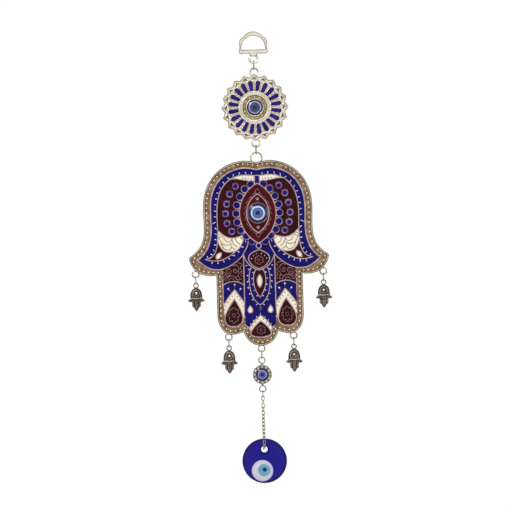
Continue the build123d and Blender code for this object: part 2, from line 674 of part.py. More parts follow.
def make_hand():
    right = [on_grid(run) for run in (crown_shares, thumb_shares, finger_side_shares, finger_tip_shares)]
    left = [flipped(run) for run in reversed(right)]
    outline = area(*right, on_grid(middle_tip_shares), *left)
    top = hand_thickness / 2
    palm_space = grown(outline, -border_width)
    finger_space = grown(outline, -finger_border_width)
    bead_line = grown(outline, -channel_bead_inset).face().outer_wire()
    bead_count = round(bead_line.length / channel_bead_pitch)
    wave = on_grid(palm_wave_shares)
    high = hand_width
    below_palm = Pos(0, -high / 2) * Rectangle(2 * high, high)
    thumb_space = grown(outline, -thumb_border_width) & below_palm
    within_walls = grown(outline, border_wall - border_width) & (
        Pos(0, border_wall + high) * Rectangle(2 * high, 2 * high))
    within_walls += grown(outline, border_wall - thumb_border_width) & (Pos(0, border_wall) * below_palm)
    channel = grown(outline, -rim_width) - within_walls
    palm = (palm_space + thumb_space) & symmetric_area([(0, high), (high, high)], [(high, high), wave[0]],
                                                       wave, on_grid(palm_point_shares))
    eye_radius = hand_eye_share * step
    eye_centre = hand_eye_centre_share * step
    eye_seat = circle_at((0, eye_centre), eye_radius)
    cells = palm_cells(palm, eye_seat)
    cells.update(finger_cells(finger_space))

    plate = extrude(Pos(0, 0, -top) * outline, hand_thickness)
    plate += loop(hand_top_loop, hand_top_loop_hole_radius, loop_wire)
    for loop_shares in (thumb_loop_shares, finger_loop_shares):
        x, y = hand_loop(loop_shares)
        for side in (1, -1):
            plate += loop((side * x, y), loop_hole_radius, loop_wire)
    plate += loop(hand_loop(bottom_loop_shares), loop_hole_radius, loop_wire)
    cuts = [extrude(Pos(0, 0, top - channel_depth) * channel, channel_depth + overrun)]
    cuts.append(extrude(Pos(0, 0, top - glass_seat_depth) * eye_seat, glass_seat_depth + overrun))
    floors = {}
    for name, shapes in cells.items():
        floors[name] = []
        for shape in shapes:
            floors[name] += [Pos(0, 0, top - cell_depth) * face for face in shape.faces()
                             if face.area > smallest_cell]
        cuts += [extrude(face, cell_depth + overrun) for face in floors[name]]
    plate = plate - cuts
    beads = []
    for i in range(bead_count):
        at = bead_line @ (i / bead_count)
        beads.append(Pos(at.X, at.Y, top - channel_depth) * Sphere(channel_bead_radius))
    plate = plate + beads

    save("hand_plate", placed(plate, hand_drop))
    for name, faces in floors.items():
        blocks = [extrude(face, enamel_thickness) for face in faces]
        save(name, placed(Compound(children=blocks), hand_drop))
    save_eye("hand_eye", eye_radius, hand_eye_shares, hand_drop - eye_centre, top - glass_seat_depth)


def make_charm():
    """The charm's body and its stone, drawn about the middle of the crossbar's lower edge."""
    half = charm_width / 2
    top = charm_thickness / 2
    runs = [scaled(run, half, charm_height) for run in (charm_dome_shares, charm_wing_shares,
                                                        charm_finger_shares, charm_tip_shares)]
    outline = symmetric_area(*runs)
    body = extrude(Pos(0, 0, -top) * outline, charm_thickness)
    body += loop((0, charm_loop_offset), charm_loop_hole_radius, charm_loop_wire)
    above_bar = Pos(0, charm_bar_width + charm_height / 2) * Rectangle(2 * charm_width, charm_height)
    field = grown(outline, -charm_rim) & above_bar
    stone_y = charm_stone_share * charm_height
    collet = circle_at((0, stone_y), charm_stone_radius + charm_collet_wall)
    cuts = [extrude(Pos(0, 0, top - charm_relief) * (field - collet), charm_relief + overrun)]
    groove_x, groove_top, groove_bottom = charm_groove_shares
    groove_length = (groove_top - groove_bottom) * charm_height
    groove = Pos(groove_x * half, groove_top * charm_height - groove_length / 2) * Rectangle(
        charm_groove_width, groove_length)
    for side in both_sides([groove]):
        cuts.append(extrude(Pos(0, 0, top - charm_relief) * side, charm_relief + overrun))
    seat = circle_at((0, stone_y), charm_stone_radius)
    cuts.append(extrude(Pos(0, 0, top - charm_stone_edge) * seat, charm_stone_edge + overrun))
    stone = turned(glass_profile(charm_stone_radius, charm_stone_edge, charm_stone_dome))
    return body - cuts, Pos(0, stone_y, top - charm_stone_edge) * stone


def make_charms():
    body, stone = make_charm()
    for place, loop_shares in (("thumb", thumb_loop_shares), ("finger", finger_loop_shares)):
        x, hook_drop = charm_hook(loop_shares)
        wire_drop = charm_wire_drop(hook_drop)
        drop = loop_drop(wire_drop, charm_ring_wire, charm_loop_hole_radius) + charm_loop_offset
        for side, sign in (("left", -1), ("right", 1)):
            name = place + "_charm_" + side
            ring = hung_ring(wire_drop, charm_ring_inner_length, charm_ring_inner_width, charm_ring_wire)
            save(name + "_link", Pos(sign * x, 0, 0) * ring)
            save(name, placed(body, drop, sign * x))
            save(name + "_stone", placed(stone, drop, sign * x))


def make_pendant():
    top = pendant_thickness / 2
    body = Cylinder(pendant_radius, pendant_thickness)
    for side in (1, -1):
        body += loop((0, side * pendant_loop_offset), loop_hole_radius, pendant_loop_wire)
        reach = pendant_neck_length + pendant_loop_wire / 2
        body += Pos(0, side * (pendant_radius + reach / 2 - loop_sink)) * Box(
            pendant_neck_width, reach + loop_sink, pendant_loop_wire)
    cuts = [Pos(0, 0, top - glass_seat_depth + tall_cut / 2) * Cylinder(pendant_eye_radius, tall_cut)]
    crystals = []
    crystal = turned(glass_profile(crystal_radius, crystal_seat_depth, crystal_dome))
    ring = (pendant_radius + pendant_eye_radius) / 2
    for i in range(crystal_count):
        place = Rot(0, 0, (i + 0.5) * 360 / crystal_count) * Pos(0, ring, top - crystal_seat_depth)
        cuts.append(place * Pos(0, 0, tall_cut / 2) * Cylinder(crystal_radius, tall_cut))
        crystals.append(place * crystal)
    save("pendant_bezel", placed(body - cuts, pendant_drop))
    save("pendant_crystals", placed(Compound(children=crystals), pendant_drop))
    save_eye("pendant_eye", pendant_eye_radius, pendant_eye_shares, pendant_drop, top - glass_seat_depth)
    save("pendant_link", hung_ring(pendant_ring_drop, charm_ring_inner_length, charm_ring_inner_width,
                                   charm_ring_wire))


def make_chain():
    ring = Rot(0, 90, 0) * Torus(chain_ring_radius, chain_ring_wire / 2)
    save("chain_ring", Pos(0, 0, -chain_ring_centre_drop) * ring)
    inner_length = chain_pitch + chain_clearance
    link = oval_ring(inner_length, chain_link_width - 2 * chain_wire, chain_wire)
    nodes = strand_nodes()
    lengths = {"chain_upper": [], "chain_middle": [], "chain_lower": []}
    for strand in (1, -1):
        for i in range(len(nodes) - 1):
            (y0, drop0), (y1, drop1) = nodes[i], nodes[i + 1]
            tilt = math.degrees(math.atan2(y1 - y0, drop1 - drop0))
            turn = 2 * link_turn * ((i + 1) % 2) - link_turn * min(1, i / turned_links)
            middle = Pos(0, strand * (y0 + y1) / 2, -(drop0 + drop1) / 2)
            placed_link = middle * Rot(strand * tilt, 0, 0) * Rot(0, 0, strand * turn) * link
            if i < segment_links:
                lengths["chain_upper"].append(placed_link)
            elif i < 2 * segment_links:
                lengths["chain_middle"].append(placed_link)
            else:
                lengths["chain_lower"].append(placed_link)
    for name, links in lengths.items():
        save(name, links)


def make_bead():
    back = -bead_thickness * bead_back_share
    front_edge = back + bead_edge_thickness
    apex = back + bead_thickness
    dome_height = bead_thickness - bead_edge_thickness
    dome_radius = (bead_radius ** 2 + dome_height ** 2) / (2 * dome_height)
    half_angle = math.asin(bead_radius / dome_radius) / 2
    on_dome = (dome_radius * math.sin(half_angle), apex - dome_radius * (1 - math.cos(half_angle)))
    soft = bead_edge_rounding
    corner = soft * math.sin(math.radians(45))
    profile = make_face(Wire([
        Line((0, back), (bead_radius - soft, back)).edge(),
        ThreePointArc((bead_radius - soft, back), (bead_radius - soft + corner, back + soft - corner),
                      (bead_radius, back + soft)).edge(),
        Line((bead_radius, back + soft), (bead_radius, front_edge)).edge(),
        ThreePointArc((bead_radius, front_edge), on_dome, (0, apex)).edge(),
        Line((0, apex), (0, back)).edge(),
    ]))
    glass = turned(profile)
    hole = Pos(0, bead_hole_offset)
    glass = glass - hole * Cylinder(bead_hole_radius, 2 * bead_thickness)
    rise = apex - dome_radius + math.sqrt(dome_radius ** 2 - bead_hole_offset ** 2)
    lip = Cone(bead_hole_radius, bead_hole_radius + 2 * bead_hole_lip, 2 * bead_hole_lip)
    glass = glass - hole * Pos(0, 0, rise) * lip
    glass = glass - hole * Pos(0, 0, back) * Rot(180, 0, 0) * lip
    floor = apex - bead_layer_depth
    names = ("bead_white", "bead_iris", "bead_pupil")
    plugs = []
    for x, y, radius in bead_layer_shares:
        plug = Cylinder(radius * bead_radius, tall_cut)
        plugs.append(Pos(x * bead_radius, y * bead_radius, floor + tall_cut / 2) * plug)
    save("bead_glass", placed(glass - plugs[0], bead_drop))
    for i, name in enumerate(names):
        layer = glass & plugs[i]
        if i + 1 < len(plugs):
            layer = layer - plugs[i + 1]
        save(name, placed(layer, bead_drop))


if __name__ == "__main__":
    os.makedirs("parts", exist_ok=True)
    save("hanger", make_hanger())
    save("hanger_link", hung_ring(hanger_ring_drop, ring_inner_length, ring_inner_width, ring_wire))
    make_medallion()
    save("medallion_link", hung_ring(medallion_ring_drop, ring_inner_length, ring_inner_width, ring_wire))
    make_charms()
    make_pendant()
    make_chain()
    make_bead()
    make_hand()
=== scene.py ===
import json
import math
import bmesh
import bpy
import mathutils
from mathutils import Matrix, Vector


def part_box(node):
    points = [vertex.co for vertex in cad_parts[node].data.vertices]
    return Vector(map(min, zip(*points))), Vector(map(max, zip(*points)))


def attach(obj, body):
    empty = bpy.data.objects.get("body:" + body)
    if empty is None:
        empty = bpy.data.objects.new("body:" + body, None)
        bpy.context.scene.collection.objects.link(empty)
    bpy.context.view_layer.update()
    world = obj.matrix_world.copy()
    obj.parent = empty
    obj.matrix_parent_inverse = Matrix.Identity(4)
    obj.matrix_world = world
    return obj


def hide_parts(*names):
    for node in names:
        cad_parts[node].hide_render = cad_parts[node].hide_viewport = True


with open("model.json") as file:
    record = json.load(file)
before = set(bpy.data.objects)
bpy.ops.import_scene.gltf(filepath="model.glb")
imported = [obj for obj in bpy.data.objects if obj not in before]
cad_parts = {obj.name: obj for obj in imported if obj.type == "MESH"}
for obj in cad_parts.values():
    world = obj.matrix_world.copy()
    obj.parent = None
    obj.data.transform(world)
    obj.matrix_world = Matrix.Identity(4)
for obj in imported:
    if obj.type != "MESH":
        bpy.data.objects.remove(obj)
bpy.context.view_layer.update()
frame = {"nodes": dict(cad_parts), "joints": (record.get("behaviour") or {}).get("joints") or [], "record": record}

MM = 0.001
HAND_WIDTH = 109.4 * MM
HAND_STEPS = 140                        # the hand's pattern is drawn on a grid this many steps wide
GRID = HAND_WIDTH / HAND_STEPS
PHOTO_PIXEL = 0.785 * MM                # what one pixel of the photograph covers
PHOTO_SIZE = 512
PHOTO_MARGIN = 35.4                     # pixels above the nail's point and below the bead
SMOOTH_ANGLE = math.radians(32)         # an edge with a sharper turn stays sharp
WHITE = (1.0, 1.0, 1.0)

node_slots = {part["node"]: part["material_slot"] for part in frame["record"]["subparts"]}
node_bodies = {node: body for body, nodes in frame["record"]["behaviour"]["bodies"].items() for node in nodes}


def middle_of(node):
    low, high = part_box(node)
    return (low + high) / 2


def grey(level):
    return (level, level, level)


def angles_round(sides, shift=0.0):
    """Even angles round a circle, in radians."""
    return [2 * math.pi * (j + shift) / sides for j in range(sides)]


def placed(name, data):
    """A new object in the scene."""
    made = bpy.data.objects.new(name, data)
    bpy.context.scene.collection.objects.link(made)
    return made


# Materials
class Nodes:
    """A small helper that builds the nodes of a material or of the world."""

    def __init__(self, owner):
        owner.use_nodes = True
        self.owner = owner
        self.tree = owner.node_tree

    def add(self, kind, **values):
        made = self.tree.nodes.new(kind)
        for key, value in values.items():
            setattr(made, key, value)
        return made

    def feed(self, value, socket):
        """Sets a socket to a number, a vector or a colour, or links another node's output to it."""
        if isinstance(value, (int, float)):
            socket.default_value = value
        elif isinstance(value, tuple):
            socket.default_value = (*value, 1) if len(socket.default_value) == 4 else value
        else:
            self.tree.links.new(value, socket)

    def feed_all(self, made, *values):
        for value, socket in zip(values, made.inputs):
            self.feed(value, socket)
        return made

    def feed_named(self, made, **values):
        for name, value in values.items():
            self.feed(value, made.inputs[name.replace("_", " ")])
        return made

    def work_out(self, operation, *values):
        return self.feed_all(self.add("ShaderNodeMath", operation=operation), *values).outputs[0]

    def largest(self, first, *others):
        for other in others:
            first = self.work_out("MAXIMUM", first, other)
        return first

    def vector(self, operation, *values):
        made = self.feed_all(self.add("ShaderNodeVectorMath", operation=operation), *values)
        return made.outputs["Value" if operation == "LENGTH" else "Vector"]

    def place(self):
        return self.add("ShaderNodeTexCoord").outputs["Object"]

    def noise(self, scale, detail=3.0, roughness=0.5, distortion=0.0):
        made = self.feed_named(self.add("ShaderNodeTexNoise"), Vector=self.place(), Scale=scale,
                               Detail=detail, Roughness=roughness, Distortion=distortion)
        return made.outputs["Fac"]

    def out_from(self, centre, radius, wobble):
        """How far a point lies from an upright disc's middle, as a share of the radius."""
        offset = self.vector("SUBTRACT", self.place(), tuple(centre))
        far = self.vector("LENGTH", self.vector("MULTIPLY", offset, (1 / radius, 0, 1 / radius)))
        return self.work_out("MULTIPLY_ADD", self.noise(320, 2), wobble, far)

    def ramp(self, factor, *stops):
        made = self.add("ShaderNodeValToRGB")
        points = made.color_ramp.elements
        while len(points) < len(stops):
            points.new(0.5)
        for point, (at, colour) in zip(points, stops):
            point.position = at
            point.color = (*colour, 1)
        return self.feed_named(made, Fac=factor).outputs["Color"]

    def mix(self, factor, first, second, blend="MIX"):
        """Mixes two colours: the node's seventh and eighth inputs, and its third output."""
        made = self.add("ShaderNodeMix", data_type="RGBA", blend_type=blend)
        self.feed(factor, made.inputs["Factor"])
        self.feed(first, made.inputs[6])
        self.feed(second, made.inputs[7])
        return made.outputs[2]

    def span(self, factor, low, high, from_low=0.0, from_high=1.0):
        made = self.add("ShaderNodeMapRange")
        return self.feed_all(made, factor, from_low, from_high, low, high).outputs["Result"]

    def bump(self, height, distance, strength, normal=None):
        made = self.add("ShaderNodeBump")
        self.feed_named(made, Height=height, Distance=distance, Strength=strength)
        if normal is not None:
            self.feed(normal, made.inputs["Normal"])
        return made.outputs["Normal"]

    def hollow(self, distance):
        made = self.add("ShaderNodeAmbientOcclusion", samples=6, only_local=False)
        return self.feed_named(made, Distance=distance).outputs["AO"]

    def rounded(self, radius):
        return self.feed_named(self.add("ShaderNodeBevel", samples=4), Radius=radius).outputs["Normal"]

    def set(self, **values):
        """Sets the inputs of the material's shader, and gives back the material."""
        self.feed_named(self.tree.nodes["Principled BSDF"], **values)
        return self.owner


def material_nodes(name):
    return Nodes(bpy.data.materials.new(name))


def cast_metal(name, bright, dull, dark, roughness, edge=0.2 * MM, recess=1.1 * MM):
    """Plated casting: bright on its high parts, duller in patches and dark in its recesses."""
    look = material_nodes(name)
    patches = look.ramp(look.noise(260, 4), (0.35, dull), (0.62, bright))
    wear = look.ramp(look.noise(1900, 3, 0.6), (0.3, grey(0.84)), (0.7, WHITE))
    metal = look.mix(1.0, patches, wear, "MULTIPLY")
    open_share = look.ramp(look.hollow(recess), (0.4, grey(0.0)), (0.86, WHITE))
    fine = look.bump(look.noise(2600, 2), 0.03 * MM, 0.5, look.rounded(edge))
    return look.set(Base_Color=look.mix(open_share, dark, metal), Metallic=1.0,
                    Roughness=look.span(look.noise(700, 4, 0.6), roughness - 0.08, roughness + 0.12),
                    Normal=look.bump(look.noise(420, 2), 0.05 * MM, 0.6, fine))


def enamel(name, deep, light, roughness=0.16, painted_wall_shade=0.5):
    """Glossy fired enamel, a little deeper in places, and drawn up to its walls."""
    look = material_nodes(name)
    body = look.mix(look.span(look.noise(190, 3), 0.0, 1.0, 0.3, 0.7), deep, light)
    # Painted shade: the enamel's colour is darkened next to its walls and wires, where the ambient occlusion finds
    # them close
    wall = look.ramp(look.hollow(0.7 * MM), (0.4, grey(painted_wall_shade)), (0.9, WHITE))
    waves = look.bump(look.noise(330, 2), 0.12 * MM, 0.35, look.rounded(0.5 * MM))
    return look.set(Base_Color=look.mix(1.0, body, wall, "MULTIPLY"),
                    Roughness=look.span(look.noise(500, 3), roughness - 0.05, roughness + 0.08),
                    Specular_IOR_Level=0.09, Coat_Weight=0.03, Coat_Roughness=0.05,
                    Normal=look.bump(look.noise(1500, 2), 0.02 * MM, 0.25, waves))


def ringed_glass(name, node, radius, *stops):
    """Glass whose colour runs in rings about a node's middle, under a smooth surface."""
    look = material_nodes(name)
    rings = look.ramp(look.out_from(middle_of(node), radius, 0.05), *stops)
    swirl = look.ramp(look.noise(260, 3, 0.5, 1.2), (0.3, (0.86, 0.86, 0.9)), (0.7, WHITE))
    return look.set(Base_Color=look.mix(1.0, rings, swirl, "MULTIPLY"), Roughness=0.06, IOR=1.5,
                    Specular_IOR_Level=0.22, Coat_Weight=0.08, Coat_Roughness=0.02,
                    Normal=look.bump(look.noise(160, 1), 0.1 * MM, 0.2))


def stone_glass(name):
    """A foil backed glass stone."""
    look = material_nodes(name)
    tint = look.ramp(look.noise(900, 2), (0.35, (0.7, 0.68, 0.74)), (0.65, WHITE))
    return look.set(Base_Color=tint, Roughness=look.span(look.noise(700, 2), 0.02, 0.09), Metallic=0.55,
                    IOR=1.9, Coat_Weight=1.0, Coat_Roughness=0.02)


def cobalt_glass(name, node, radius):
    """Deep blue glass with a darker edge, slow waves and a few small bubbles."""
    look = material_nodes(name)
    body = look.ramp(look.out_from(middle_of(node), radius, 0.01), (0.0, (0.011, 0.007, 0.26)),
                     (0.88, (0.013, 0.008, 0.3)), (0.95, (0.006, 0.003, 0.12)))
    streaks = look.ramp(look.noise(70, 3, 0.5, 1.5), (0.3, (0.75, 0.8, 0.8)), (0.7, (1.15, 1.0, 1.1)))
    streaked = look.mix(1.0, body, streaks, "MULTIPLY")
    bubbles = look.ramp(look.noise(1300, 1), (0.71, WHITE), (0.76, (1.6, 1.6, 1.7)))
    return look.set(Base_Color=look.mix(1.0, streaked, bubbles, "MULTIPLY"), Roughness=0.05, IOR=1.5,
                    Transmission_Weight=0.15, Specular_IOR_Level=0.1, Coat_Weight=0.02, Coat_Roughness=0.02,
                    Normal=look.bump(look.noise(110, 2), 0.25 * MM, 0.25))


gold = cast_metal("antique_gold_cast", (0.74, 0.64, 0.48), (0.48, 0.4, 0.28), (0.1, 0.07, 0.035),
                  0.26, edge=0.25 * MM)
pale_gold = cast_metal("pale_gold_cast", (1.0, 0.94, 0.84), (0.92, 0.84, 0.68), (0.2, 0.15, 0.06),
                       0.22, edge=0.4 * MM, recess=0.9 * MM)
link_gold = cast_metal("link_wire", (0.48, 0.44, 0.34), (0.31, 0.275, 0.195), (0.07, 0.05, 0.025),
                       0.22, recess=0.6 * MM)
chain_gold = cast_metal("chain_wire", (0.66, 0.61, 0.48), (0.44, 0.39, 0.27), (0.09, 0.07, 0.035),
                        0.26, recess=0.5 * MM)
bead_gold = cast_metal("channel_beads", (1.0, 0.86, 0.7), (0.95, 0.78, 0.6), (0.3, 0.19, 0.1),
                       0.42, recess=0.5 * MM)
wire_gold = cast_metal("trim_wire", (0.68, 0.51, 0.5), (0.46, 0.32, 0.32), (0.16, 0.08, 0.08),
                       0.34, recess=0.5 * MM)
fine_wire = cast_metal("fine_wire", (0.46, 0.28, 0.29), (0.3, 0.17, 0.18), (0.1, 0.045, 0.05),
                       0.38, recess=0.5 * MM)
ring_wire = cast_metal("ring_wire", (0.42, 0.28, 0.46), (0.16, 0.08, 0.22), (0.05, 0.02, 0.09),
                       0.3, recess=0.6 * MM)
channel = cast_metal("bead_channel", (0.42, 0.27, 0.17), (0.17, 0.1, 0.055), (0.04, 0.02, 0.01), 0.4)
olive = cast_metal("lace_recess", (0.46, 0.36, 0.16), (0.28, 0.21, 0.08), (0.07, 0.045, 0.015), 0.38)
# Painted shade: the colour of the dark wire that stands for the shade along the hand's outer edge
edge_shade = cast_metal("painted_edge_shade", (0.24, 0.18, 0.1), (0.15, 0.105, 0.055), (0.04, 0.025, 0.012), 0.4)
silver = cast_metal("antique_silver_cast", (0.16, 0.112, 0.095), (0.085, 0.058, 0.05),
                    (0.012, 0.008, 0.006), 0.34, recess=0.9 * MM)
ridge_silver = cast_metal("silver_ridges", (0.56, 0.46, 0.39), (0.34, 0.27, 0.22), (0.045, 0.03, 0.025),
                          0.3, recess=0.4 * MM)
pin_silver = cast_metal("trim_pins", (0.94, 0.88, 1.0), (0.74, 0.66, 0.84), (0.24, 0.18, 0.28),
                        0.28, recess=0.5 * MM)
pewter = cast_metal("bezel_pewter", (0.5, 0.45, 0.38), (0.3, 0.26, 0.21), (0.03, 0.022, 0.018),
                    0.3, recess=0.7 * MM)
blue = enamel("enamel_blue", (0.004, 0.0025, 0.075), (0.008, 0.004, 0.16))
maroon = enamel("enamel_maroon", (0.018, 0.001, 0.002), (0.042, 0.002, 0.004))
red = enamel("enamel_red", (0.036, 0.001, 0.003), (0.085, 0.003, 0.006))
cream = enamel("enamel_cream", (0.8, 0.71, 0.56), (0.93, 0.87, 0.76), 0.24, 0.62)
violet = enamel("enamel_violet", (0.012, 0.004, 0.08), (0.04, 0.015, 0.21), 0.09)
gem = stone_glass("clear_stone")
cobalt = cobalt_glass("cobalt_glass", "bead_glass", 17.5 * MM)

SLOT_MATERIALS = {
    "antique_gold": gold, "antique_silver": silver, "clear_stone": gem, "enamel_blue": blue,
    "enamel_maroon": maroon, "enamel_red": red, "enamel_cream": cream, "enamel_violet": violet,
    "cobalt_glass": cobalt,
}
NODE_MATERIALS = {
    "hanger": pale_gold, "medallion_plate": pale_gold, "pendant_bezel": pewter,
    "bead_white": ringed_glass("bead_eye_white", "bead_white", 8.4 * MM,
                               (0.5, (0.72, 0.73, 0.74)), (0.85, (0.7, 0.69, 0.75)),
                               (1.0, (0.56, 0.53, 0.78))),
    "bead_iris": ringed_glass("bead_eye_blue", "bead_iris", 5 * MM,
                              (0.3, (0.13, 0.4, 0.62)), (0.85, (0.17, 0.42, 0.6)), (1.0, (0.32, 0.5, 0.6))),
    "bead_pupil": ringed_glass("bead_eye_black", "bead_pupil", 2 * MM,
                               (0.0, (0.002, 0.012, 0.04)), (1.0, (0.004, 0.02, 0.07))),
}
LAYER_LOOKS = {"rim": "dark", "white": "pale", "iris": "blue", "pupil": "black"}
EYES = {                                # each eye's radius, and the colours of its layers from the middle out
    "medallion_eye": (6.3 * MM, {
        "rim": ((0.0, (0.01, 0.008, 0.03)), (1.0, (0.02, 0.014, 0.04))),
        "white": ((0.66, (0.1, 0.11, 0.26)), (0.71, (0.42, 0.43, 0.66)), (0.76, (0.5, 0.5, 0.72)),
                  (0.81, (0.14, 0.13, 0.3)), (0.83, (0.04, 0.03, 0.1))),
        "iris": ((0.2, (0.02, 0.035, 0.07)), (0.38, (0.05, 0.08, 0.17)), (0.46, (0.03, 0.04, 0.11)),
                 (0.6, (0.07, 0.085, 0.2)), (0.68, (0.05, 0.05, 0.16))),
        "pupil": ((0.0, (0.02, 0.035, 0.035)), (0.3, (0.008, 0.012, 0.02)))}),
    "hand_eye": (7.8 * MM, {
        "rim": ((0.7, (0.008, 0.006, 0.03)), (1.0, (0.02, 0.018, 0.09))),
        "white": ((0.53, (0.03, 0.05, 0.2)), (0.58, (0.34, 0.42, 0.68)), (0.63, (0.66, 0.74, 0.9)),
                  (0.7, (0.6, 0.68, 0.88)), (0.745, (0.12, 0.14, 0.4)), (0.79, (0.02, 0.02, 0.1))),
        "iris": ((0.17, (0.006, 0.01, 0.04)), (0.25, (0.03, 0.06, 0.19)), (0.31, (0.1, 0.19, 0.46)),
                 (0.45, (0.07, 0.14, 0.4)), (0.53, (0.025, 0.05, 0.2))),
        "pupil": ((0.0, (0.012, 0.02, 0.05)), (0.16, (0.004, 0.006, 0.025)))}),
    "pendant_eye": (5 * MM, {
        "rim": ((0.7, (0.01, 0.008, 0.04)), (1.0, (0.02, 0.013, 0.07))),
        "white": ((0.55, (0.06, 0.08, 0.26)), (0.62, (0.38, 0.38, 0.7)), (0.68, (0.46, 0.46, 0.76)),
                  (0.745, (0.08, 0.07, 0.26)), (0.77, (0.02, 0.015, 0.09))),
        "iris": ((0.28, (0.015, 0.02, 0.11)), (0.35, (0.14, 0.2, 0.42)), (0.43, (0.05, 0.08, 0.25)),
                 (0.53, (0.05, 0.07, 0.24))),
        "pupil": ((0.0, (0.004, 0.005, 0.05)), (0.25, (0.01, 0.012, 0.09)))}),
}
for eye, (eye_radius, layers) in EYES.items():
    for layer, stops in layers.items():
        NODE_MATERIALS[f"{eye}_{layer}"] = ringed_glass(f"{eye}_{LAYER_LOOKS[layer]}", f"{eye}_rim",
                                                        eye_radius, *stops)


# The CAD's pieces, dressed
def finish_of(node):
    if node in NODE_MATERIALS:
        return NODE_MATERIALS[node]
    if node == "chain_ring" or node.endswith("_link"):
        return link_gold
    if node.startswith("chain_"):
        return chain_gold
    return SLOT_MATERIALS[node_slots[node]]


def shade_edges(edges):
    for edge in edges:
        edge.smooth = edge.calc_face_angle(0.0) < SMOOTH_ANGLE


def dressed(node):
    """A copy of a CAD node with clean faces and smooth shading, in place of it."""
    mesh = frame["nodes"][node].data.copy()
    mesh.name = node + "_dressed"
    mesh.materials.clear()
    mesh.materials.append(finish_of(node))
    bm = bmesh.new()
    bm.from_mesh(mesh)
    bmesh.ops.remove_doubles(bm, verts=bm.verts, dist=0.002 * MM)
    bmesh.ops.dissolve_limit(bm, angle_limit=math.radians(0.6), verts=bm.verts, edges=bm.edges)
    for face in bm.faces:
        face.smooth = True
    shade_edges(bm.edges)
    bm.to_mesh(mesh)
    bm.free()
    piece = placed(node + "_dressed", mesh)
    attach(piece, node_bodies[node])
    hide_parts(node)
    return piece


# The stones are cut further down
pieces = {node: dressed(node) for node in sorted(frame["nodes"])
          if node != "pendant_crystals" and not node.endswith("_stone")}


# Small raised trim, gathered into one mesh for each place
BALL_ROWS = 5
BALL_SIDES = 12
STONE_SIDES = 8


class Trim:
    """Raised wires, balls and stones that become one piece."""

    def __init__(self):
        self.points = []
        self.faces = []
        self.flat = set()

    def add_rings(self, rings, closed):
        sides = len(rings[0])
        base = len(self.points)
        for ring in rings:
            self.points += ring
        count = len(rings)
        for i in range(count if closed else count - 1):
            a = base + i * sides
            b = base + ((i + 1) % count) * sides
            for j in range(sides):
                k = (j + 1) % sides
                self.faces.append((a + j, a + k, b + k, b + j))
        if not closed:
            self.faces.append(tuple(base + j for j in range(sides)))
            self.faces.append(tuple(base + (count - 1) * sides + j for j in reversed(range(sides))))

    def wire(self, line, radius, closed=False, sides=6):
        """A round wire along points."""
        count = len(line)
        rings = []
        for i, at in enumerate(line):
            before = line[(i - 1) % count] if closed or i else line[0]
            after = line[(i + 1) % count] if closed or i < count - 1 else line[-1]
            along = (after - before).normalized()
            aside = along.cross(Vector((0, -1, 0))).normalized()
            up = aside.cross(along)
            rings.append([at + radius * (math.cos(a) * aside + math.sin(a) * up)
                          for a in angles_round(sides)])
        self.add_rings(rings, closed)

    def ball(self, at, radius, flat=1.0):
        """The front half of a ball, flatter where flat is below one."""
        base = len(self.points)
        for i in range(BALL_ROWS):
            a = math.pi / 2 * i / BALL_ROWS
            for b in angles_round(BALL_SIDES):
                out = Vector((math.cos(a) * math.cos(b), -flat * math.sin(a), math.cos(a) * math.sin(b)))
                self.points.append(at + radius * out)
        tip = len(self.points)
        self.points.append(at + Vector((0, -radius * flat, 0)))
        for i in range(BALL_ROWS - 1):
            for j in range(BALL_SIDES):
                k = (j + 1) % BALL_SIDES
                a, b = base + i * BALL_SIDES, base + (i + 1) * BALL_SIDES
                self.faces.append((a + j, a + k, b + k, b + j))
        last = base + (BALL_ROWS - 1) * BALL_SIDES
        for j in range(BALL_SIDES):
            self.faces.append((last + j, last + (j + 1) % BALL_SIDES, tip))
        self.faces.append(tuple(base + j for j in reversed(range(BALL_SIDES))))

    def stone(self, at, radius, height, depth, turn=0.0):
        """A cut stone: a table, two rows of facets, and a straight girdle into its seat."""
        rings = []
        for y, share, twist in ((depth, 1.0, 0.5), (0, 1.0, 0.5), (-0.55 * height, 0.82, 0),
                                (-height, 0.5, 0.5)):
            rings.append([at + Vector((radius * share * math.cos(turn + a), y,
                                       radius * share * math.sin(turn + a)))
                          for a in angles_round(STONE_SIDES, twist)])
        base = len(self.points)
        first = len(self.faces)
        for ring in rings:
            self.points += ring
        for i in range(len(rings) - 1):
            a, b = base + i * STONE_SIDES, base + (i + 1) * STONE_SIDES
            for j in range(STONE_SIDES):
                k = (j + 1) % STONE_SIDES
                if i == 0:
                    self.faces.append((a + j, a + k, b + k, b + j))
                elif i == 1:
                    self.faces += [(a + j, a + k, b + k), (a + j, b + k, b + j)]
                else:
                    self.faces += [(a + j, a + k, b + j), (a + k, b + k, b + j)]
        self.faces.append(tuple(base + j for j in reversed(range(STONE_SIDES))))
        self.faces.append(tuple(base + 3 * STONE_SIDES + j for j in range(STONE_SIDES)))
        self.flat |= set(range(first, len(self.faces)))

    def piece(self, name, body, slot, material):
        mesh = bpy.data.meshes.new(name)
        mesh.from_pydata([tuple(p) for p in self.points], [], self.faces)
        bm = bmesh.new()
        bm.from_mesh(mesh)
        for face in bm.faces:
            face.smooth = len(face.verts) < 6 and face.index not in self.flat
        bmesh.ops.recalc_face_normals(bm, faces=bm.faces)
        bm.to_mesh(mesh)
        bm.free()
        mesh.materials.append(material)
        made = placed(name, mesh)
        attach(made, body)
        return made


CURVE_STEPS = 6


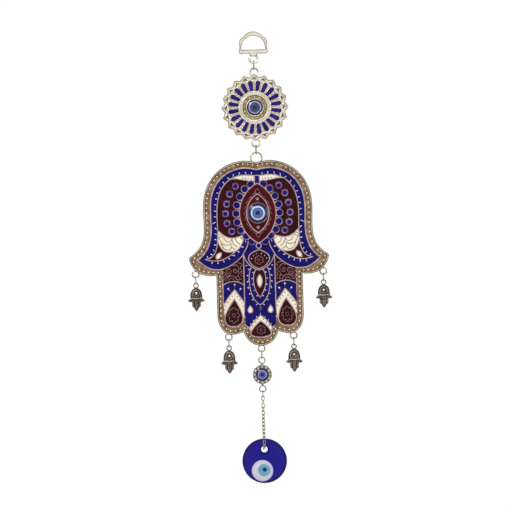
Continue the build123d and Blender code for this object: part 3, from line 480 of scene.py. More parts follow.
def curve(points, closed=False):
    """A smooth line through flat points."""
    points = [Vector(p) for p in points]
    count = len(points)
    if count == 2 and not closed:
        return points
    line = []
    for i in range(count if closed else count - 1):
        b, c = points[i], points[(i + 1) % count]
        a = points[i - 1] if closed or i else b + (b - c)
        d = points[(i + 2) % count] if closed or i < count - 2 else c + (c - b)
        for t in (j / CURVE_STEPS for j in range(CURVE_STEPS)):
            line.append(0.5 * (2 * b + (c - a) * t + (2 * a - 5 * b + 4 * c - d) * t * t
                               + (3 * b - 3 * c + d - a) * t ** 3))
    if not closed:
        line.append(points[-1])
    return line


def arc(centre, radius, start, end, steps):
    """Points of a circle's arc, in degrees from the right and anticlockwise."""
    angles = [math.radians(start + (end - start) * i / steps) for i in range(steps + 1)]
    return [(centre[0] + radius * math.cos(a), centre[1] + radius * math.sin(a)) for a in angles]


def mirrored(points):
    return [(-x, y) for x, y in points]


def moved_back(point, depth):
    return point + Vector((0, depth, 0))


# The parts of a casting's mesh
FRONT_NORMAL = -0.99                    # a face that looks to the front has a smaller y in its normal
LEVEL_ERROR = 0.01 * MM
FLOOR_ERROR = 0.02 * MM
BALL_FOOT = 0.08 * MM                   # a ball's faces begin this far above its floor
BALL_NORMALS = (-0.9985, -0.04)         # and their normals' y lies between these
LOOP_REACH = 3.4 * MM                   # a loop's faces lie this close to its joint
CUT_ERROR = 0.01 * MM


def is_front(face, level):
    return face.normal.y < FRONT_NORMAL and abs(face.calc_center_median().y - level) < LEVEL_ERROR


def front_faces(bm, level):
    return [face for face in bm.faces if is_front(face, level)]


def unique(parts):
    """Parts without repeats, in their own order, so that each run gives the same mesh."""
    return list(dict.fromkeys(parts))


def next_faces(face):
    return [other for edge in face.edges for other in edge.link_faces]


def next_edges(edge):
    return [other for vert in edge.verts for other in vert.link_edges]


def grouped(parts, neighbours):
    """Groups parts that hang together."""
    left = dict.fromkeys(parts)
    groups = []
    while left:
        group = [left.popitem()[0]]
        for part in group:
            for other in neighbours(part):
                if other in left:
                    del left[other]
                    group.append(other)
        groups.append(group)
    return groups


def rim_edges(faces):
    inside = set(faces)
    return unique(e for f in faces for e in f.edges if not all(other in inside for other in e.link_faces))


def width_of(parts):
    xs = [v.co.x for part in parts for v in part.verts]
    return max(xs) - min(xs)


def widest_first(groups):
    return sorted(groups, key=width_of, reverse=True)


def search_tree(points):
    tree = mathutils.kdtree.KDTree(len(points))
    for i, point in enumerate(points):
        tree.insert(point, i)
    tree.balance()
    return tree


def flat_islands(mesh, level):
    """The flat areas that face the front at a level: their faces' numbers and their corners."""
    bm = bmesh.new()
    bm.from_mesh(mesh)
    islands = [([face.index for face in island], [v.co.copy() for face in island for v in face.verts])
               for island in grouped(front_faces(bm, level), next_faces)]
    bm.free()
    return islands


def front_loops(mesh, level):
    """The ends of the edges round the flat fronts at a level, in loops, the widest loop first."""
    bm = bmesh.new()
    bm.from_mesh(mesh)
    loops = [[[v.co.copy() for v in edge.verts] for edge in loop]
             for loop in widest_first(grouped(rim_edges(front_faces(bm, level)), next_edges))]
    bm.free()
    return loops


def add_slots(mesh, *materials):
    """Adds materials to a mesh, and gives back their numbers there."""
    first = len(mesh.materials)
    for material in materials:
        mesh.materials.append(material)
    return range(first, len(mesh.materials))


def colour_floor(mesh, level, slot):
    for face in mesh.polygons:
        if face.normal.y < FRONT_NORMAL and abs(face.center.y - level) < FLOOR_ERROR:
            face.material_index = slot


def colour_balls(mesh, tip, floor, slot):
    """Gives a slot to the curved faces between a floor and the tips of the balls on it."""
    for face in mesh.polygons:
        high = tip - FLOOR_ERROR < face.center.y < floor - BALL_FOOT
        if high and BALL_NORMALS[0] < face.normal.y < BALL_NORMALS[1]:
            face.material_index = slot


def colour_loops(mesh, slot):
    """Gives a slot to the faces close about the joints that rings hang on."""
    points = [Vector(joint["pos_m"]) for joint in frame["joints"]]
    for face in mesh.polygons:
        if any(math.hypot(face.center.x - p.x, face.center.z - p.z) < LOOP_REACH for p in points):
            face.material_index = slot


def cut_in_grid(bm, faces, box, step):
    """Cuts flat faces in a box along a grid, and gives back the faces that come out."""
    for axis, (low, high) in box.items():
        for k in range(int((high - low) / step) + 1):
            point, normal = Vector((0, 0, 0)), Vector((0, 0, 0))
            point[axis] = low + k * step
            normal[axis] = 1
            crossed, others = [], []
            for face in faces:
                sides = [v.co[axis] for v in face.verts]
                (crossed if min(sides) < point[axis] < max(sides) else others).append(face)
            if crossed:
                parts = unique(part for face in crossed for part in (face, *face.edges, *face.verts))
                cut = bmesh.ops.bisect_plane(bm, geom=parts, plane_co=point, plane_no=normal, dist=CUT_ERROR)
                others += [part for part in cut["geom"] if isinstance(part, bmesh.types.BMFace)]
            faces = others
    return faces


# The hand's channel
FACE_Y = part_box("hand_plate")[0].y
EYE_AT = 44.8                           # the eye's height in the hand's pattern, in steps of its grid
PALM_Z = middle_of("hand_eye_rim").z - EYE_AT * GRID
CHANNEL_DEPTH = 1.0 * MM
TIP_AREAS = (((34, 70), (-22, 8)), ((-70, -34), (-22, 8)), ((-48, 48), (-94, -58)))
TIP_BORDER = 0.92 * MM                  # how wide the walls stay beside the lowered areas
TIP_SLOPE = 0.12 * MM
TIP_STEP = 0.7 * MM
RIM_SAMPLES = 4


def deepen_tips(mesh):
    """Lowers the broad flat areas at the tips of the thumbs and fingers to the bead channel's floor."""
    bm = bmesh.new()
    bm.from_mesh(mesh)
    reach = bm.verts.layers.float.new("reach")
    # The widest front is the outer border, and the next one lies between the channel and the enamel
    band = widest_first(grouped(front_faces(bm, FACE_Y), next_faces))[1]
    inner_loops = widest_first(grouped(rim_edges(band), next_edges))[1:]
    walls = search_tree([e.verts[0].co.lerp(e.verts[1].co, t / RIM_SAMPLES)
                         for loop in inner_loops for e in loop for t in range(RIM_SAMPLES)])
    whole = bmesh.ops.triangulate(bm, faces=band)["faces"]
    lowered = []
    for across, upwards in TIP_AREAS:
        box = {0: [x * GRID for x in across], 2: [PALM_Z + z * GRID for z in upwards]}
        chosen = [f for f in whole if f.is_valid and all(
            max(v.co[axis] for v in f.verts) > low and min(v.co[axis] for v in f.verts) < high
            for axis, (low, high) in box.items())]
        lowered += cut_in_grid(bm, chosen, box, TIP_STEP)
    for vert in unique(v for f in lowered for v in f.verts):
        vert[reach] = walls.find(vert.co)[2]
    # The edges are cut where the slope begins and where it ends
    for level in (TIP_BORDER, TIP_BORDER + TIP_SLOPE):
        made = []
        for edge in unique(e for f in lowered for e in f.edges):
            a, b = (v[reach] - level for v in edge.verts)
            if a * b < 0 and min(abs(a), abs(b)) > CUT_ERROR:
                new = bmesh.utils.edge_split(edge, edge.verts[0], a / (a - b))[1]
                new[reach] = level
                made.append(new)
        bmesh.ops.connect_verts(bm, verts=made)
        lowered = unique([f for f in lowered if f.is_valid]
                         + [f for v in made for f in v.link_faces if is_front(f, FACE_Y)])
    for vert in unique(v for f in lowered for v in f.verts):
        vert.co.y += CHANNEL_DEPTH * min(1, max(0, (vert[reach] - TIP_BORDER) / TIP_SLOPE))
    bm.normal_update()
    shade_edges(unique(e for f in lowered for e in f.edges))
    bm.to_mesh(mesh)
    bm.free()


# The hand's walls, rings, pins and outline
ENAMEL_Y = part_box("enamel_palm_blue")[0].y
LINE_Y = ENAMEL_Y + 0.04 * MM
PIN_LIMIT = 1.1 * MM                    # the tops of the pins are smaller
BORDER_LIMIT = 108 * MM                 # the hand's outer border is wider
RING_LIMIT = 7 * MM                     # the small rings are smaller, and round
ROUND_ERROR = 0.3 * MM
RING_WALL = 0.85 * MM
RING_POINTS = 24
LINING_WIRE = 0.22 * MM
OUTLINE_WIRE = 0.26 * MM
HANGER_WIRE = 0.24 * MM
TICK_WIRE = 0.3 * MM
TICK_BALL = 0.54 * MM
BALL_FLATNESS = 0.75

plate = pieces["hand_plate"].data
deepen_tips(plate)
FLOOR_SLOT, WALL_SLOT, BALL_SLOT, RING_SLOT, LOOP_SLOT = add_slots(
    plate, channel, wire_gold, bead_gold, ring_wire, link_gold)
pins = []
walls = []
ringlets = Trim()
for island, corners in flat_islands(plate, FACE_Y):
    xs = [p.x for p in corners]
    zs = [p.z for p in corners]
    wide, tall = max(xs) - min(xs), max(zs) - min(zs)
    at = Vector(((max(xs) + min(xs)) / 2, FACE_Y, (max(zs) + min(zs)) / 2))
    if max(wide, tall) < PIN_LIMIT:
        pins.append(at)
    elif wide < BORDER_LIMIT:
        walls += corners
        is_ring = abs(wide - tall) < ROUND_ERROR and wide < RING_LIMIT
        for i in island:
            plate.polygons[i].material_index = RING_SLOT if is_ring else WALL_SLOT
        if is_ring:
            inner = wide / 2 - RING_WALL
            ringlets.wire([Vector((at.x + inner * math.cos(a), LINE_Y, at.z + inner * math.sin(a)))
                           for a in angles_round(RING_POINTS)], LINING_WIRE, closed=True)
ringlets.piece("ring_lining", "hand", "antique_gold", ring_wire)
colour_loops(plate, LOOP_SLOT)
colour_floor(plate, FACE_Y + CHANNEL_DEPTH, FLOOR_SLOT)
colour_balls(plate, FACE_Y + 0.15 * MM, FACE_Y + CHANNEL_DEPTH, BALL_SLOT)

# Painted shade: a dark wire round the hand's outer edge stands for the shade where the edge turns away from the
# light
outline = Trim()
for ends in front_loops(plate, FACE_Y)[0]:
    outline.wire(ends, OUTLINE_WIRE)
outline.piece("hand_outline", "hand", "antique_gold", edge_shade)

# Painted shade: dark wires along the hanger's edges stand for the shade on its rounded edges
hanger_edges = Trim()
for loop in front_loops(pieces["hanger"].data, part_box("hanger")[0].y):
    for ends in loop:
        hanger_edges.wire(ends, HANGER_WIRE)
hanger_edges.piece("hanger_edge_shade", "hanger", "antique_gold", olive)

wall_tree = search_tree(walls)
ticks = Trim()
for at in pins:
    wall = wall_tree.find(at)[0]
    ticks.ball(moved_back(at, 0.05 * MM), TICK_BALL, BALL_FLATNESS)
    ticks.wire([moved_back(at, 0.1 * MM), moved_back(wall, 0.1 * MM)], TICK_WIRE, sides=8)
ticks.piece("enamel_ticks", "hand", "antique_gold", pin_silver)

# The pattern in the hand's enamel, whose points are in steps of its grid from the palm's middle line
FINE = 0.25 * MM
lines = Trim()
barbs = Trim()
buds = Trim()
grains = Trim()


def on_hand(point, y):
    return Vector((point[0] * GRID, y, PALM_Z + point[1] * GRID))


def draw(points, radius=FINE, closed=False, twice=True, smooth=True, onto=lines):
    """A raised line of the pattern, and its mirror image."""
    for side in ((points, mirrored(points)) if twice else (points,)):
        line = curve(side, closed) if smooth else side
        onto.wire([on_hand(p, LINE_Y) for p in line], radius, closed)


def bud(point, radius, twice=True):
    for side in ((point, (-point[0], point[1])) if twice else (point,)):
        buds.ball(on_hand(side, ENAMEL_Y + 0.02 * MM), radius * GRID, BALL_FLATNESS)


def flower(centre, reach, petals, petal_radius, tall=1.0, twice=True):
    """Round petals about a middle, each an open arc."""
    for i in range(petals):
        a = 90 + i * 360 / petals
        c, s = math.cos(math.radians(a)), math.sin(math.radians(a))
        at = (centre[0] + reach * c, centre[1] + tall * reach * s)
        draw(arc(at, petal_radius, a - 115, a + 115, 10), 0.21 * MM, twice=twice, smooth=False)
    draw(arc(centre, 0.42 * reach, 0, 330, 11), 0.18 * MM, closed=True, twice=twice, smooth=False)


# The lace that goes round the palm's inner lens
LENS_TOP, LENS_LOW, LENS_HALF = 64.0, 25.0, 11.3
LACE_BUMPS = 9
lens_middle = (LENS_TOP + LENS_LOW) / 2
half_height = (LENS_TOP - LENS_LOW) / 2
lens_radius = (half_height ** 2 + LENS_HALF ** 2) / (2 * LENS_HALF)
lens_x = LENS_HALF - lens_radius
sweep = math.degrees(math.asin(half_height / lens_radius))
for i in range(LACE_BUMPS):
    a = sweep - (i + 0.5) * 2 * sweep / LACE_BUMPS
    x = lens_x + lens_radius * math.cos(math.radians(a))
    y = lens_middle + lens_radius * math.sin(math.radians(a))
    if i == LACE_BUMPS // 2:
        draw([(x + 0.3, y + 2.4), (x + 3.0, y), (x + 0.3, y - 2.4)], smooth=False)
    else:
        draw(arc((x, y), 2.15, a - 88, a + 88, 10), smooth=False)
draw([(-1.9, LENS_TOP), (-2.2, LENS_TOP + 2.4), (0, LENS_TOP + 5.0), (2.2, LENS_TOP + 2.4),
      (1.9, LENS_TOP)], twice=False)
draw([(-1.7, LENS_LOW), (-1.9, LENS_LOW - 2.2), (0, LENS_LOW - 4.6), (1.9, LENS_LOW - 2.2),
      (1.7, LENS_LOW)], twice=False)
draw(arc((0, EYE_AT), 10.25, 0, 354, 60), 0.34 * MM, closed=True, twice=False, smooth=False)

# The small flowers above and below the eye
for at, fan in ((59.5, 30), (31.0, 36)):
    for i in range(-2, 3):
        a = math.radians(90 + i * fan)
        draw([(0, at - 1.2), (2.5 * math.cos(a), at - 1.2 + 2.5 * math.sin(a))], 0.32 * MM, twice=False)
    bud((0, at - 1.3), 0.75, twice=False)

# The wires round the petals beside the mandorla
petal_wires = Trim()
for x, y in ((6.3, 73.6), (12.5, 69), (17.5, 61.5), (20.8, 53), (21.6, 44.6), (20.8, 36), (17.5, 28),
             (12, 22)):
    outward = math.degrees(math.atan2(y - EYE_AT, x + 16))
    points = arc((x, y), 3.75, outward - 96, outward + 96, 18)
    for side in (points, mirrored(points)):
        petal_wires.wire([on_hand(p, FACE_Y + 0.05 * MM) for p in side], 0.36 * MM)
petal_wires.piece("petal_wires", "hand", "antique_gold", ring_wire)

# The crowns on the six rings of each lobe
for x, y in ((21.8, 72), (27.7, 64.3), (31, 54.5), (32.5, 44.7), (31.2, 35), (26.7, 26.8)):
    for a in (48, 90, 132):
        c, s = math.cos(math.radians(a)), math.sin(math.radians(a))
        draw([(x + 2.9 * c - 0.8 * s, y + 2.9 * s + 0.8 * c), (x + 4.3 * c, y + 4.3 * s),
              (x + 2.9 * c + 0.8 * s, y + 2.9 * s - 0.8 * c)], 0.22 * MM, smooth=False)

# The feather's scales, and the petals under the mandorla
for points in (
        [(15.5, 18.8), (16.8, 19.5), (18.4, 20.9)],
        [(18.9, 14.1), (21.6, 16.2), (23.6, 20.2)],
        [(21.6, 11.1), (25, 14.1), (26.9, 19.0)],
        [(23.6, 8.4), (27, 11.1), (28.3, 13.6)],
        [(26.3, 20.2), (28, 17.4), (30.4, 16.4), (33, 17.6), (35.3, 21.4)],
        [(27, 15.1), (31.4, 13.4), (36.5, 14.8), (39.8, 20.6)],
        [(27.3, 10.9), (29, 8.9), (31.2, 8.3), (35.1, 10.1), (37.4, 14.9)],
        [(35.3, 22.9), (38, 21.6), (40.6, 21.3)],
        [(36.8, 24.9), (38.6, 24.0), (40.5, 23.8)]):
    draw(points, 0.32 * MM, onto=barbs)
draw(arc((6.6, 16.2), 3.3, 190, 345, 12), smooth=False)

# The onion's flower and the ticks under its upper edge
flower((0, -2.4), 2.9, 6, 1.55, twice=False)
for x, y, dx, dy in ((3.0, 5.6, -0.4, -1.7), (6.3, 3.4, -0.8, -1.5), (8.8, 0.1, -1.3, -1.0)):
    draw([(x, y), (x + dx, y + dy)], 0.2 * MM)
    bud((x + dx, y + dy), 0.5)

# The scrollwork above the outer fingers
for points in (
        [(37.3, -12.5), (34.3, -15), (32.2, -17.6), (29.3, -15.9), (28.3, -12.6), (30.3, -10.6), (33.2, -12),
         (33.2, -14.7), (31.2, -15.3), (30.4, -13.9), (31.5, -13.0)],
        [(26.8, -7.9), (24.6, -6.9), (22.2, -7.3), (20.6, -9.9), (21.3, -13), (23.8, -14.7), (26.0, -13.3),
         (25.8, -11.3), (24.0, -11.0), (23.4, -12.4), (24.4, -12.9)],
        [(16.9, -6.9), (18.8, -8.8), (18.6, -11.4), (16.9, -12.4)],
        [(17.2, -6.3), (19.9, -4.9), (22.6, -4.4)],
        [(16.9, -13.9), (19.6, -14.2), (21.4, -17), (20.2, -19.2)],
        [(16.9, -15.5), (18.6, -16.2), (18.2, -18.2), (16.9, -18.6)],
        [(16.9, -20.6), (19, -21.2), (21, -22.4)],
        [(37.1, -18.4), (34.6, -16.4), (33.6, -15.3)],
        [(37.1, -20.9), (34.8, -21.4), (33.2, -22.7)],
        [(32.4, -17.7), (34.9, -19.3), (37.0, -21.0)]):
    draw(points)
draw([(22.1, -17.6), (19.7, -19.9), (22.3, -22), (24.4, -19.4)], closed=True, smooth=False)
draw(arc((28.3, -23.0), 5.4, 4, 176, 14), 0.27 * MM, smooth=False)
draw(arc((28.3, -22.8), 2.7, 2, 178, 10), 0.27 * MM, smooth=False)

# The balls on stems and the flower of each outer finger
for head, foot in (((25.2, -26.6), (25.2, -30.3)), ((19.5, -30.9), (21.6, -33.6)),
                   ((31.7, -30.7), (29.4, -33.2))):
    draw([head, foot], 0.3 * MM)
    bud(head, 1.15)
flower((26.9, -57.3), 4.1, 8, 1.75, 1.45)
draw([(26.0, -67.0), (26.9, -68.0), (27.8, -67.0)], 0.2 * MM)

# The middle finger's drop, ticks and flower
draw([(0, -48.9), (0.8, -51.2), (0, -53.2), (-0.8, -51.2)], 0.24 * MM, closed=True, twice=False)
bud((12.9, -7.7), 0.75)
for x, y in ((3.1, -60.4), (6.3, -63.8), (9.4, -67.4), (12.2, -71.6)):
    end = (x + 1.2, y + 1.1)
    draw([(x, y), end], 0.22 * MM)
    bud(end, 0.5)
draw([(0, -58), (0, -56.4)], 0.22 * MM, twice=False)
bud((0, -56.2), 0.5, twice=False)
flower((0, -72.6), 2.9, 6, 1.6, twice=False)
lines.piece("hand_trim", "hand", "antique_gold", fine_wire)
barbs.piece("feather_lines", "hand", "antique_gold", olive)
buds.piece("hand_buds", "hand", "antique_gold", pin_silver)

# The dark grains in the cream enamel
for x, y in ((25, -35.6), (22.5, -38.6), (20.4, -41.7), (18.6, -44.9), (17.4, -48.4), (28, -38.1),
             (30.5, -41.0), (32.7, -44.2), (34.7, -47.8), (35.9, -51.6), (5.5, 79.4), (8.5, 79.5),
             (11.5, 79.8), (14.4, 80.3), (2.7, -61.8), (5.6, -64.9), (8.4, -68.3), (10.9, -72.3),
             (12.2, -75.4)):
    for side in (1, -1):
        grains.ball(on_hand((side * x, y), ENAMEL_Y + 0.05 * MM), 0.78 * GRID, 0.35)
grains.piece("cream_grains", "hand", "antique_gold", olive)

# The medallion's trim
MEDALLION_Z = middle_of("medallion_eye_rim").z
BEZEL_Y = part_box("medallion_plate")[0].y
DISC_Y = BEZEL_Y + 0.7 * MM
BEZEL_FLOOR_Y = BEZEL_Y + 0.8 * MM
PETAL_FLOOR_Y = DISC_Y + 0.9 * MM
SCALLOPS = 20
TURN = 360 / SCALLOPS
PETAL_INNER = (12.9, 1.15)              # a petal's radius and half width at its narrow end
PETAL_OUTER = (19.3, 1.85)              # and where its round end begins
PETAL_DOME = ((0.0, 0.3), (0.0, -0.02), (0.25, -0.13), (0.6, -0.18))
SCALLOP_EDGE = ((23.4, -0.5), (24.0, -0.34), (24.8, -0.17), (25.75, 0), (24.8, 0.17), (24.0, 0.34),
                (23.4, 0.5))
SCALLOP_LACE = ((21.3, -0.42), (22.6, -0.28), (24.75, 0), (22.6, 0.28), (21.3, 0.42))
SPOKE_EDGE = ((12.9, 0.2), (15, 0.34), (18, 0.5), (20.4, 0.55))
EDGE_WIRE, LACE_WIRE, PETAL_WIRE, SPOKE_WIRE = 0.24 * MM, 0.3 * MM, 0.26 * MM, 0.16 * MM
BEZEL_WIRES = ((10.9, 0.3), (6.75, 0.28))


def on_medallion(radius, angle, y=DISC_Y, aside=0.0):
    """A point of the medallion, in millimetres and degrees from the top, moved aside if wanted."""
    a = math.radians(angle)
    return Vector(((radius * math.sin(a) + aside * math.cos(a)) * MM, y,
                   MEDALLION_Z + (radius * math.cos(a) - aside * math.sin(a)) * MM))


def petal_line(angle, inset, y):
    """The outline of a petal's enamel, drawn in by an inset in millimetres."""
    (inner, inner_half), (outer, outer_half) = PETAL_INNER, PETAL_OUTER
    side = [(inner + (outer - inner) * t, inner_half + (outer_half - inner_half) * t ** 0.7)
            for t in (0, 0.25, 0.5, 0.75, 1)]
    side[0] = (inner + inset, inner_half)
    end = [(outer + (outer_half - inset) * math.sin(t), (outer_half - inset) * math.cos(t))
           for t in (math.pi * j / 10 for j in range(1, 10))]
    points = [(r, x - inset) for r, x in side] + end + [(r, inset - x) for r, x in reversed(side)]
    return [on_medallion(r, angle, y, x) for r, x in points]


disc = pieces["medallion_plate"].data
DISC_FLOOR_SLOT, DISC_BALL_SLOT, DISC_LOOP_SLOT = add_slots(disc, olive, bead_gold, link_gold)
colour_loops(disc, DISC_LOOP_SLOT)
colour_floor(disc, PETAL_FLOOR_Y, DISC_FLOOR_SLOT)
colour_floor(disc, BEZEL_FLOOR_Y, DISC_FLOOR_SLOT)
colour_balls(disc, BEZEL_Y + 0.1 * MM, BEZEL_FLOOR_Y, DISC_BALL_SLOT)

lace = Trim()
edging = Trim()
petals = Trim()
for i in range(SCALLOPS):
    a = i * TURN
    b = a + TURN / 2
    edging.wire([on_medallion(r, a + share * TURN) for r, share in SCALLOP_EDGE], EDGE_WIRE, sides=8)
    lace.wire([on_medallion(r, a + share * TURN) for r, share in SCALLOP_LACE], LACE_WIRE, sides=8)
    lace.wire(petal_line(b, -0.22, DISC_Y), PETAL_WIRE, closed=True, sides=8)
    petals.add_rings([petal_line(b, inset, DISC_Y + level * MM) for inset, level in PETAL_DOME], closed=False)
    for side in (1, -1):
        edging.wire([on_medallion(r, a, aside=side * x) for r, x in SPOKE_EDGE], SPOKE_WIRE)
for radius, thick in BEZEL_WIRES:
    lace.wire([on_medallion(radius, degrees, BEZEL_Y) for degrees in range(0, 360, 5)], thick * MM,
              closed=True, sides=8)
lace.piece("medallion_lace", "medallion", "antique_gold", pale_gold)
petals.piece("petal_enamel", "medallion", "enamel_violet", violet)
edging.piece("medallion_edging", "medallion", "antique_gold", olive)

# The charms' relief and stones, whose points are in millimetres from the middle of a charm's bar
CHARM_HEIGHT = 18.3
STONE_RISE = 0.25 * CHARM_HEIGHT        # how far the stone's middle lies above the bar's
CHARM_ARCH = ((-3.05, 1.1), (-3.1, 3.2), (-2.55, 5.6), (-1.3, 7.0), (0, 7.45), (1.3, 7.0), (2.55, 5.6),
              (3.1, 3.2), (3.05, 1.1))
CHARM_BAR = ((-4.5, 0.15), (-3.3, 0.75), (-1.7, 0.6), (0, 0.4), (1.7, 0.6), (3.3, 0.75), (4.5, 0.15))
CHARM_RIDGES = ((((4.3, 0.0), (5.3, -0.55), (6.2, -1.25)), 0.26),
                (((3.6, -1.2), (3.1, -3.4), (2.5, -5.6)), 0.26),
                (((0.95, -1.0), (0.95, -4.0), (0.75, -6.9)), 0.2))
ARCH_WIRE, COLLAR_WIRE, BAR_WIRE = 0.3 * MM, 0.26 * MM, 0.42 * MM
SIDE_BALLS = (-1.6, -2.7, -3.8, -4.9)
MIDDLE_BALLS = (-1.5, -2.6, -3.7, -4.8, -5.9, -7.0, -8.1)
SIDE_BALL, MIDDLE_BALL = 0.36 * MM, 0.42 * MM


def dress_charm(name):
    """The relief, the bar and the cut stone of one charm."""
    body = node_bodies[name]
    seat = middle_of(name + "_stone")
    face_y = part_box(name)[0].y
    field_y = face_y + 0.35 * MM

    def on_charm(x, z, y=face_y):
        return Vector((seat.x + x * MM, y, seat.z + (z - STONE_RISE) * MM))

    bar = Trim()
    bar.wire([on_charm(x, z) for x, z in curve(CHARM_BAR)], BAR_WIRE, sides=8)
    bar.piece(name + "_bar", body, "antique_silver", chain_gold)
    relief = Trim()
    relief.wire([on_charm(x, z, field_y) for x, z in curve(CHARM_ARCH)], ARCH_WIRE, sides=8)
    relief.wire([on_charm(x, z, field_y) for x, z in arc((0, STONE_RISE), 2.5, 0, 345, 23)], COLLAR_WIRE,
                closed=True, sides=8)
    for side in (1, -1):
        for points, thick in CHARM_RIDGES:
            relief.wire([on_charm(side * x, z, face_y + 0.05 * MM) for x, z in curve(points)],
                        thick * MM, sides=8)
        for z in SIDE_BALLS:
            relief.ball(on_charm(side * 2.45, z), SIDE_BALL)
    for z in MIDDLE_BALLS:
        relief.ball(on_charm(0, z), MIDDLE_BALL)
    relief.piece(name + "_relief", body, "antique_silver", ridge_silver)
    stone = Trim()
    stone.stone(Vector((seat.x, face_y, seat.z)), 1.1 * MM, 0.5 * MM, 0.45 * MM)
    made = stone.piece(name + "_stone_cut", body, "clear_stone", gem)
    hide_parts(name + "_stone")


for place in ("thumb", "finger"):
    for side in ("left", "right"):
        dress_charm(f"{place}_charm_{side}")

# The pendant's stones and their prongs
CRYSTALS = 12
CRYSTAL_RADIUS = 0.8 * MM
PENDANT = middle_of("pendant_eye_rim")
crystals_low, crystals_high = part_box("pendant_crystals")
PENDANT_Y = crystals_low.y + 0.4 * MM
CRYSTAL_RING = (crystals_high.x - crystals_low.x) / 2 - CRYSTAL_RADIUS
EYE_RING = 5.12 * MM                    # the radius of the fine ring round the eye


def on_pendant(radius, angle):
    a = math.radians(angle)
    return Vector((PENDANT.x + radius * math.sin(a), PENDANT_Y, PENDANT.z + radius * math.cos(a)))


crystals = Trim()
prongs = Trim()
for i in range(CRYSTALS):
    crystals.stone(on_pendant(CRYSTAL_RING, i * 360 / CRYSTALS), 0.98 * CRYSTAL_RADIUS, 0.5 * MM, 0.35 * MM,
                   turn=0.3 * i)
    for radius, size in ((CRYSTAL_RING + 0.75 * MM, 0.33), (CRYSTAL_RING - 0.7 * MM, 0.22)):
        prongs.ball(on_pendant(radius, (i + 0.5) * 360 / CRYSTALS), size * MM)
made = crystals.piece("pendant_crystals_cut", node_bodies["pendant_crystals"], "clear_stone", gem)
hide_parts("pendant_crystals")
prongs.wire([on_pendant(EYE_RING, degrees) for degrees in range(0, 360, 6)], 0.16 * MM, closed=True, sides=8)
prongs.piece("pendant_prongs", node_bodies["pendant_crystals"], "antique_gold", ridge_silver)


# Light
def area_light(name, place, aim, size, power):
    light = bpy.data.lights.new(name, "AREA")
    light.shape = "RECTANGLE"
    light.size, light.size_y = size
    light.energy = power
    lamp = placed(name, light)
    lamp.location = place
    lamp.rotation_euler = (Vector(aim) - Vector(place)).to_track_quat("-Z", "Y").to_euler()


middle = Vector((0, 0, -0.5 * (PHOTO_SIZE - 2 * PHOTO_MARGIN) * PHOTO_PIXEL))
area_light("key", (-0.55, -0.8, 0.45), middle, (0.3, 0.3), 4.2)
area_light("fill", (0.75, -0.7, -0.1), middle, (0.3, 0.6), 1.2)
area_light("top", (0.1, -0.35, 0.65), middle, (0.6, 0.2), 2.0)

# The room is bright in a wide ring in front, dark at the sides, and white behind the ornament
ROOM = ((0.0, 0.84), (0.04, 0.86), (0.09, 1.0), (0.16, 0.9), (0.24, 0.32), (0.36, 0.1), (0.8, 0.1),
        (0.93, 0.9))
world = bpy.data.worlds.new("studio")
bpy.context.scene.world = world
sky = Nodes(world)
facing = sky.feed_all(sky.add("ShaderNodeSeparateXYZ"), sky.add("ShaderNodeTexCoord").outputs["Generated"])
depth = sky.span(facing.outputs["Y"], 0.0, 1.0, -1.0, 1.0)
room = sky.tree.nodes["Background"]
sky.feed(sky.ramp(depth, *((at, grey(level)) for at, level in ROOM)), room.inputs["Color"])
paper = sky.feed_all(sky.add("ShaderNodeBackground"), WHITE, 1.0)
# The camera and the glass see the white background everywhere, and the metal sees it behind the ornament
rays = sky.add("ShaderNodeLightPath").outputs
behind = sky.work_out("MULTIPLY", rays["Is Glossy Ray"], sky.span(depth, 0.0, 1.0, 0.8, 0.93))
seen = sky.largest(rays["Is Camera Ray"], rays["Is Transmission Ray"], behind)
choose = sky.feed_all(sky.add("ShaderNodeMixShader"), seen, room.outputs[0], paper.outputs[0])
sky.feed(choose.outputs[0], sky.tree.nodes["World Output"].inputs["Surface"])

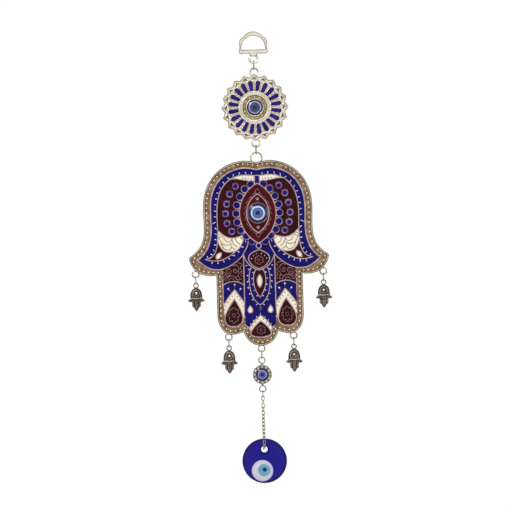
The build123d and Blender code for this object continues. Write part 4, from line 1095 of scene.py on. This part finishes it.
# The floor lies below the picture, under the ornament, and fades into the white towards its edge
FLOOR_Z = -415 * MM
FLOOR_RADIUS = 270 * MM
FLOOR_FADE = (0.35 * FLOOR_RADIUS, 0.97 * FLOOR_RADIUS)
FLOOR_SIDES = 96
paint = material_nodes("pale_floor")
rays = paint.add("ShaderNodeLightPath").outputs
shown = paint.largest(rays["Is Camera Ray"], rays["Is Glossy Ray"], rays["Is Transmission Ray"])
tone = paint.ramp(paint.noise(14, 3), (0.35, (0.84, 0.84, 0.83)), (0.65, (0.88, 0.88, 0.87)))
paint.set(Base_Color=tone, Roughness=0.7, Normal=paint.bump(paint.noise(240, 2), 0.1 * MM, 0.3),
          Emission_Color=WHITE, Emission_Strength=paint.work_out("MULTIPLY", shown, 0.3))
away = paint.span(paint.vector("LENGTH", paint.place()), 0.0, 1.0, *FLOOR_FADE)
fade = paint.work_out("MULTIPLY", away, shown)
painted = paint.tree.nodes["Principled BSDF"].outputs["BSDF"]
glow = paint.add("ShaderNodeEmission").outputs["Emission"]
blend = paint.feed_all(paint.add("ShaderNodeMixShader"), fade, painted, glow)
paint.feed(blend.outputs[0], paint.tree.nodes["Material Output"].inputs["Surface"])
ground = bpy.data.meshes.new("floor")
ground.from_pydata([(FLOOR_RADIUS * math.cos(a), FLOOR_RADIUS * math.sin(a), 0)
                    for a in angles_round(FLOOR_SIDES)], [], [tuple(range(FLOOR_SIDES))])
ground.materials.append(paint.owner)
floor = placed("floor", ground)
floor.location = (0, 0, FLOOR_Z)

# View
DISTANCE = 2.2
LEAN = math.radians(1.6)                # the ornament hangs that far out of plumb in the photograph
PHOTO_MIDDLE = (-3.0, -220.6)           # in its pixels, to the right of the nail's point and above it
lens = bpy.data.cameras.new("photo")
lens.sensor_width = 36
lens.lens = lens.sensor_width * DISTANCE / (PHOTO_SIZE * PHOTO_PIXEL)
camera = placed("photo", lens)
bpy.context.scene.camera = camera
camera.location = (PHOTO_MIDDLE[0] * PHOTO_PIXEL, -DISTANCE, PHOTO_MIDDLE[1] * PHOTO_PIXEL)
turn = Matrix(((math.cos(LEAN), math.sin(LEAN), 0), (0, 0, -1), (-math.sin(LEAN), math.cos(LEAN), 0)))
camera.rotation_euler = turn.to_euler()
bpy.context.scene.view_settings.view_transform = "Standard"
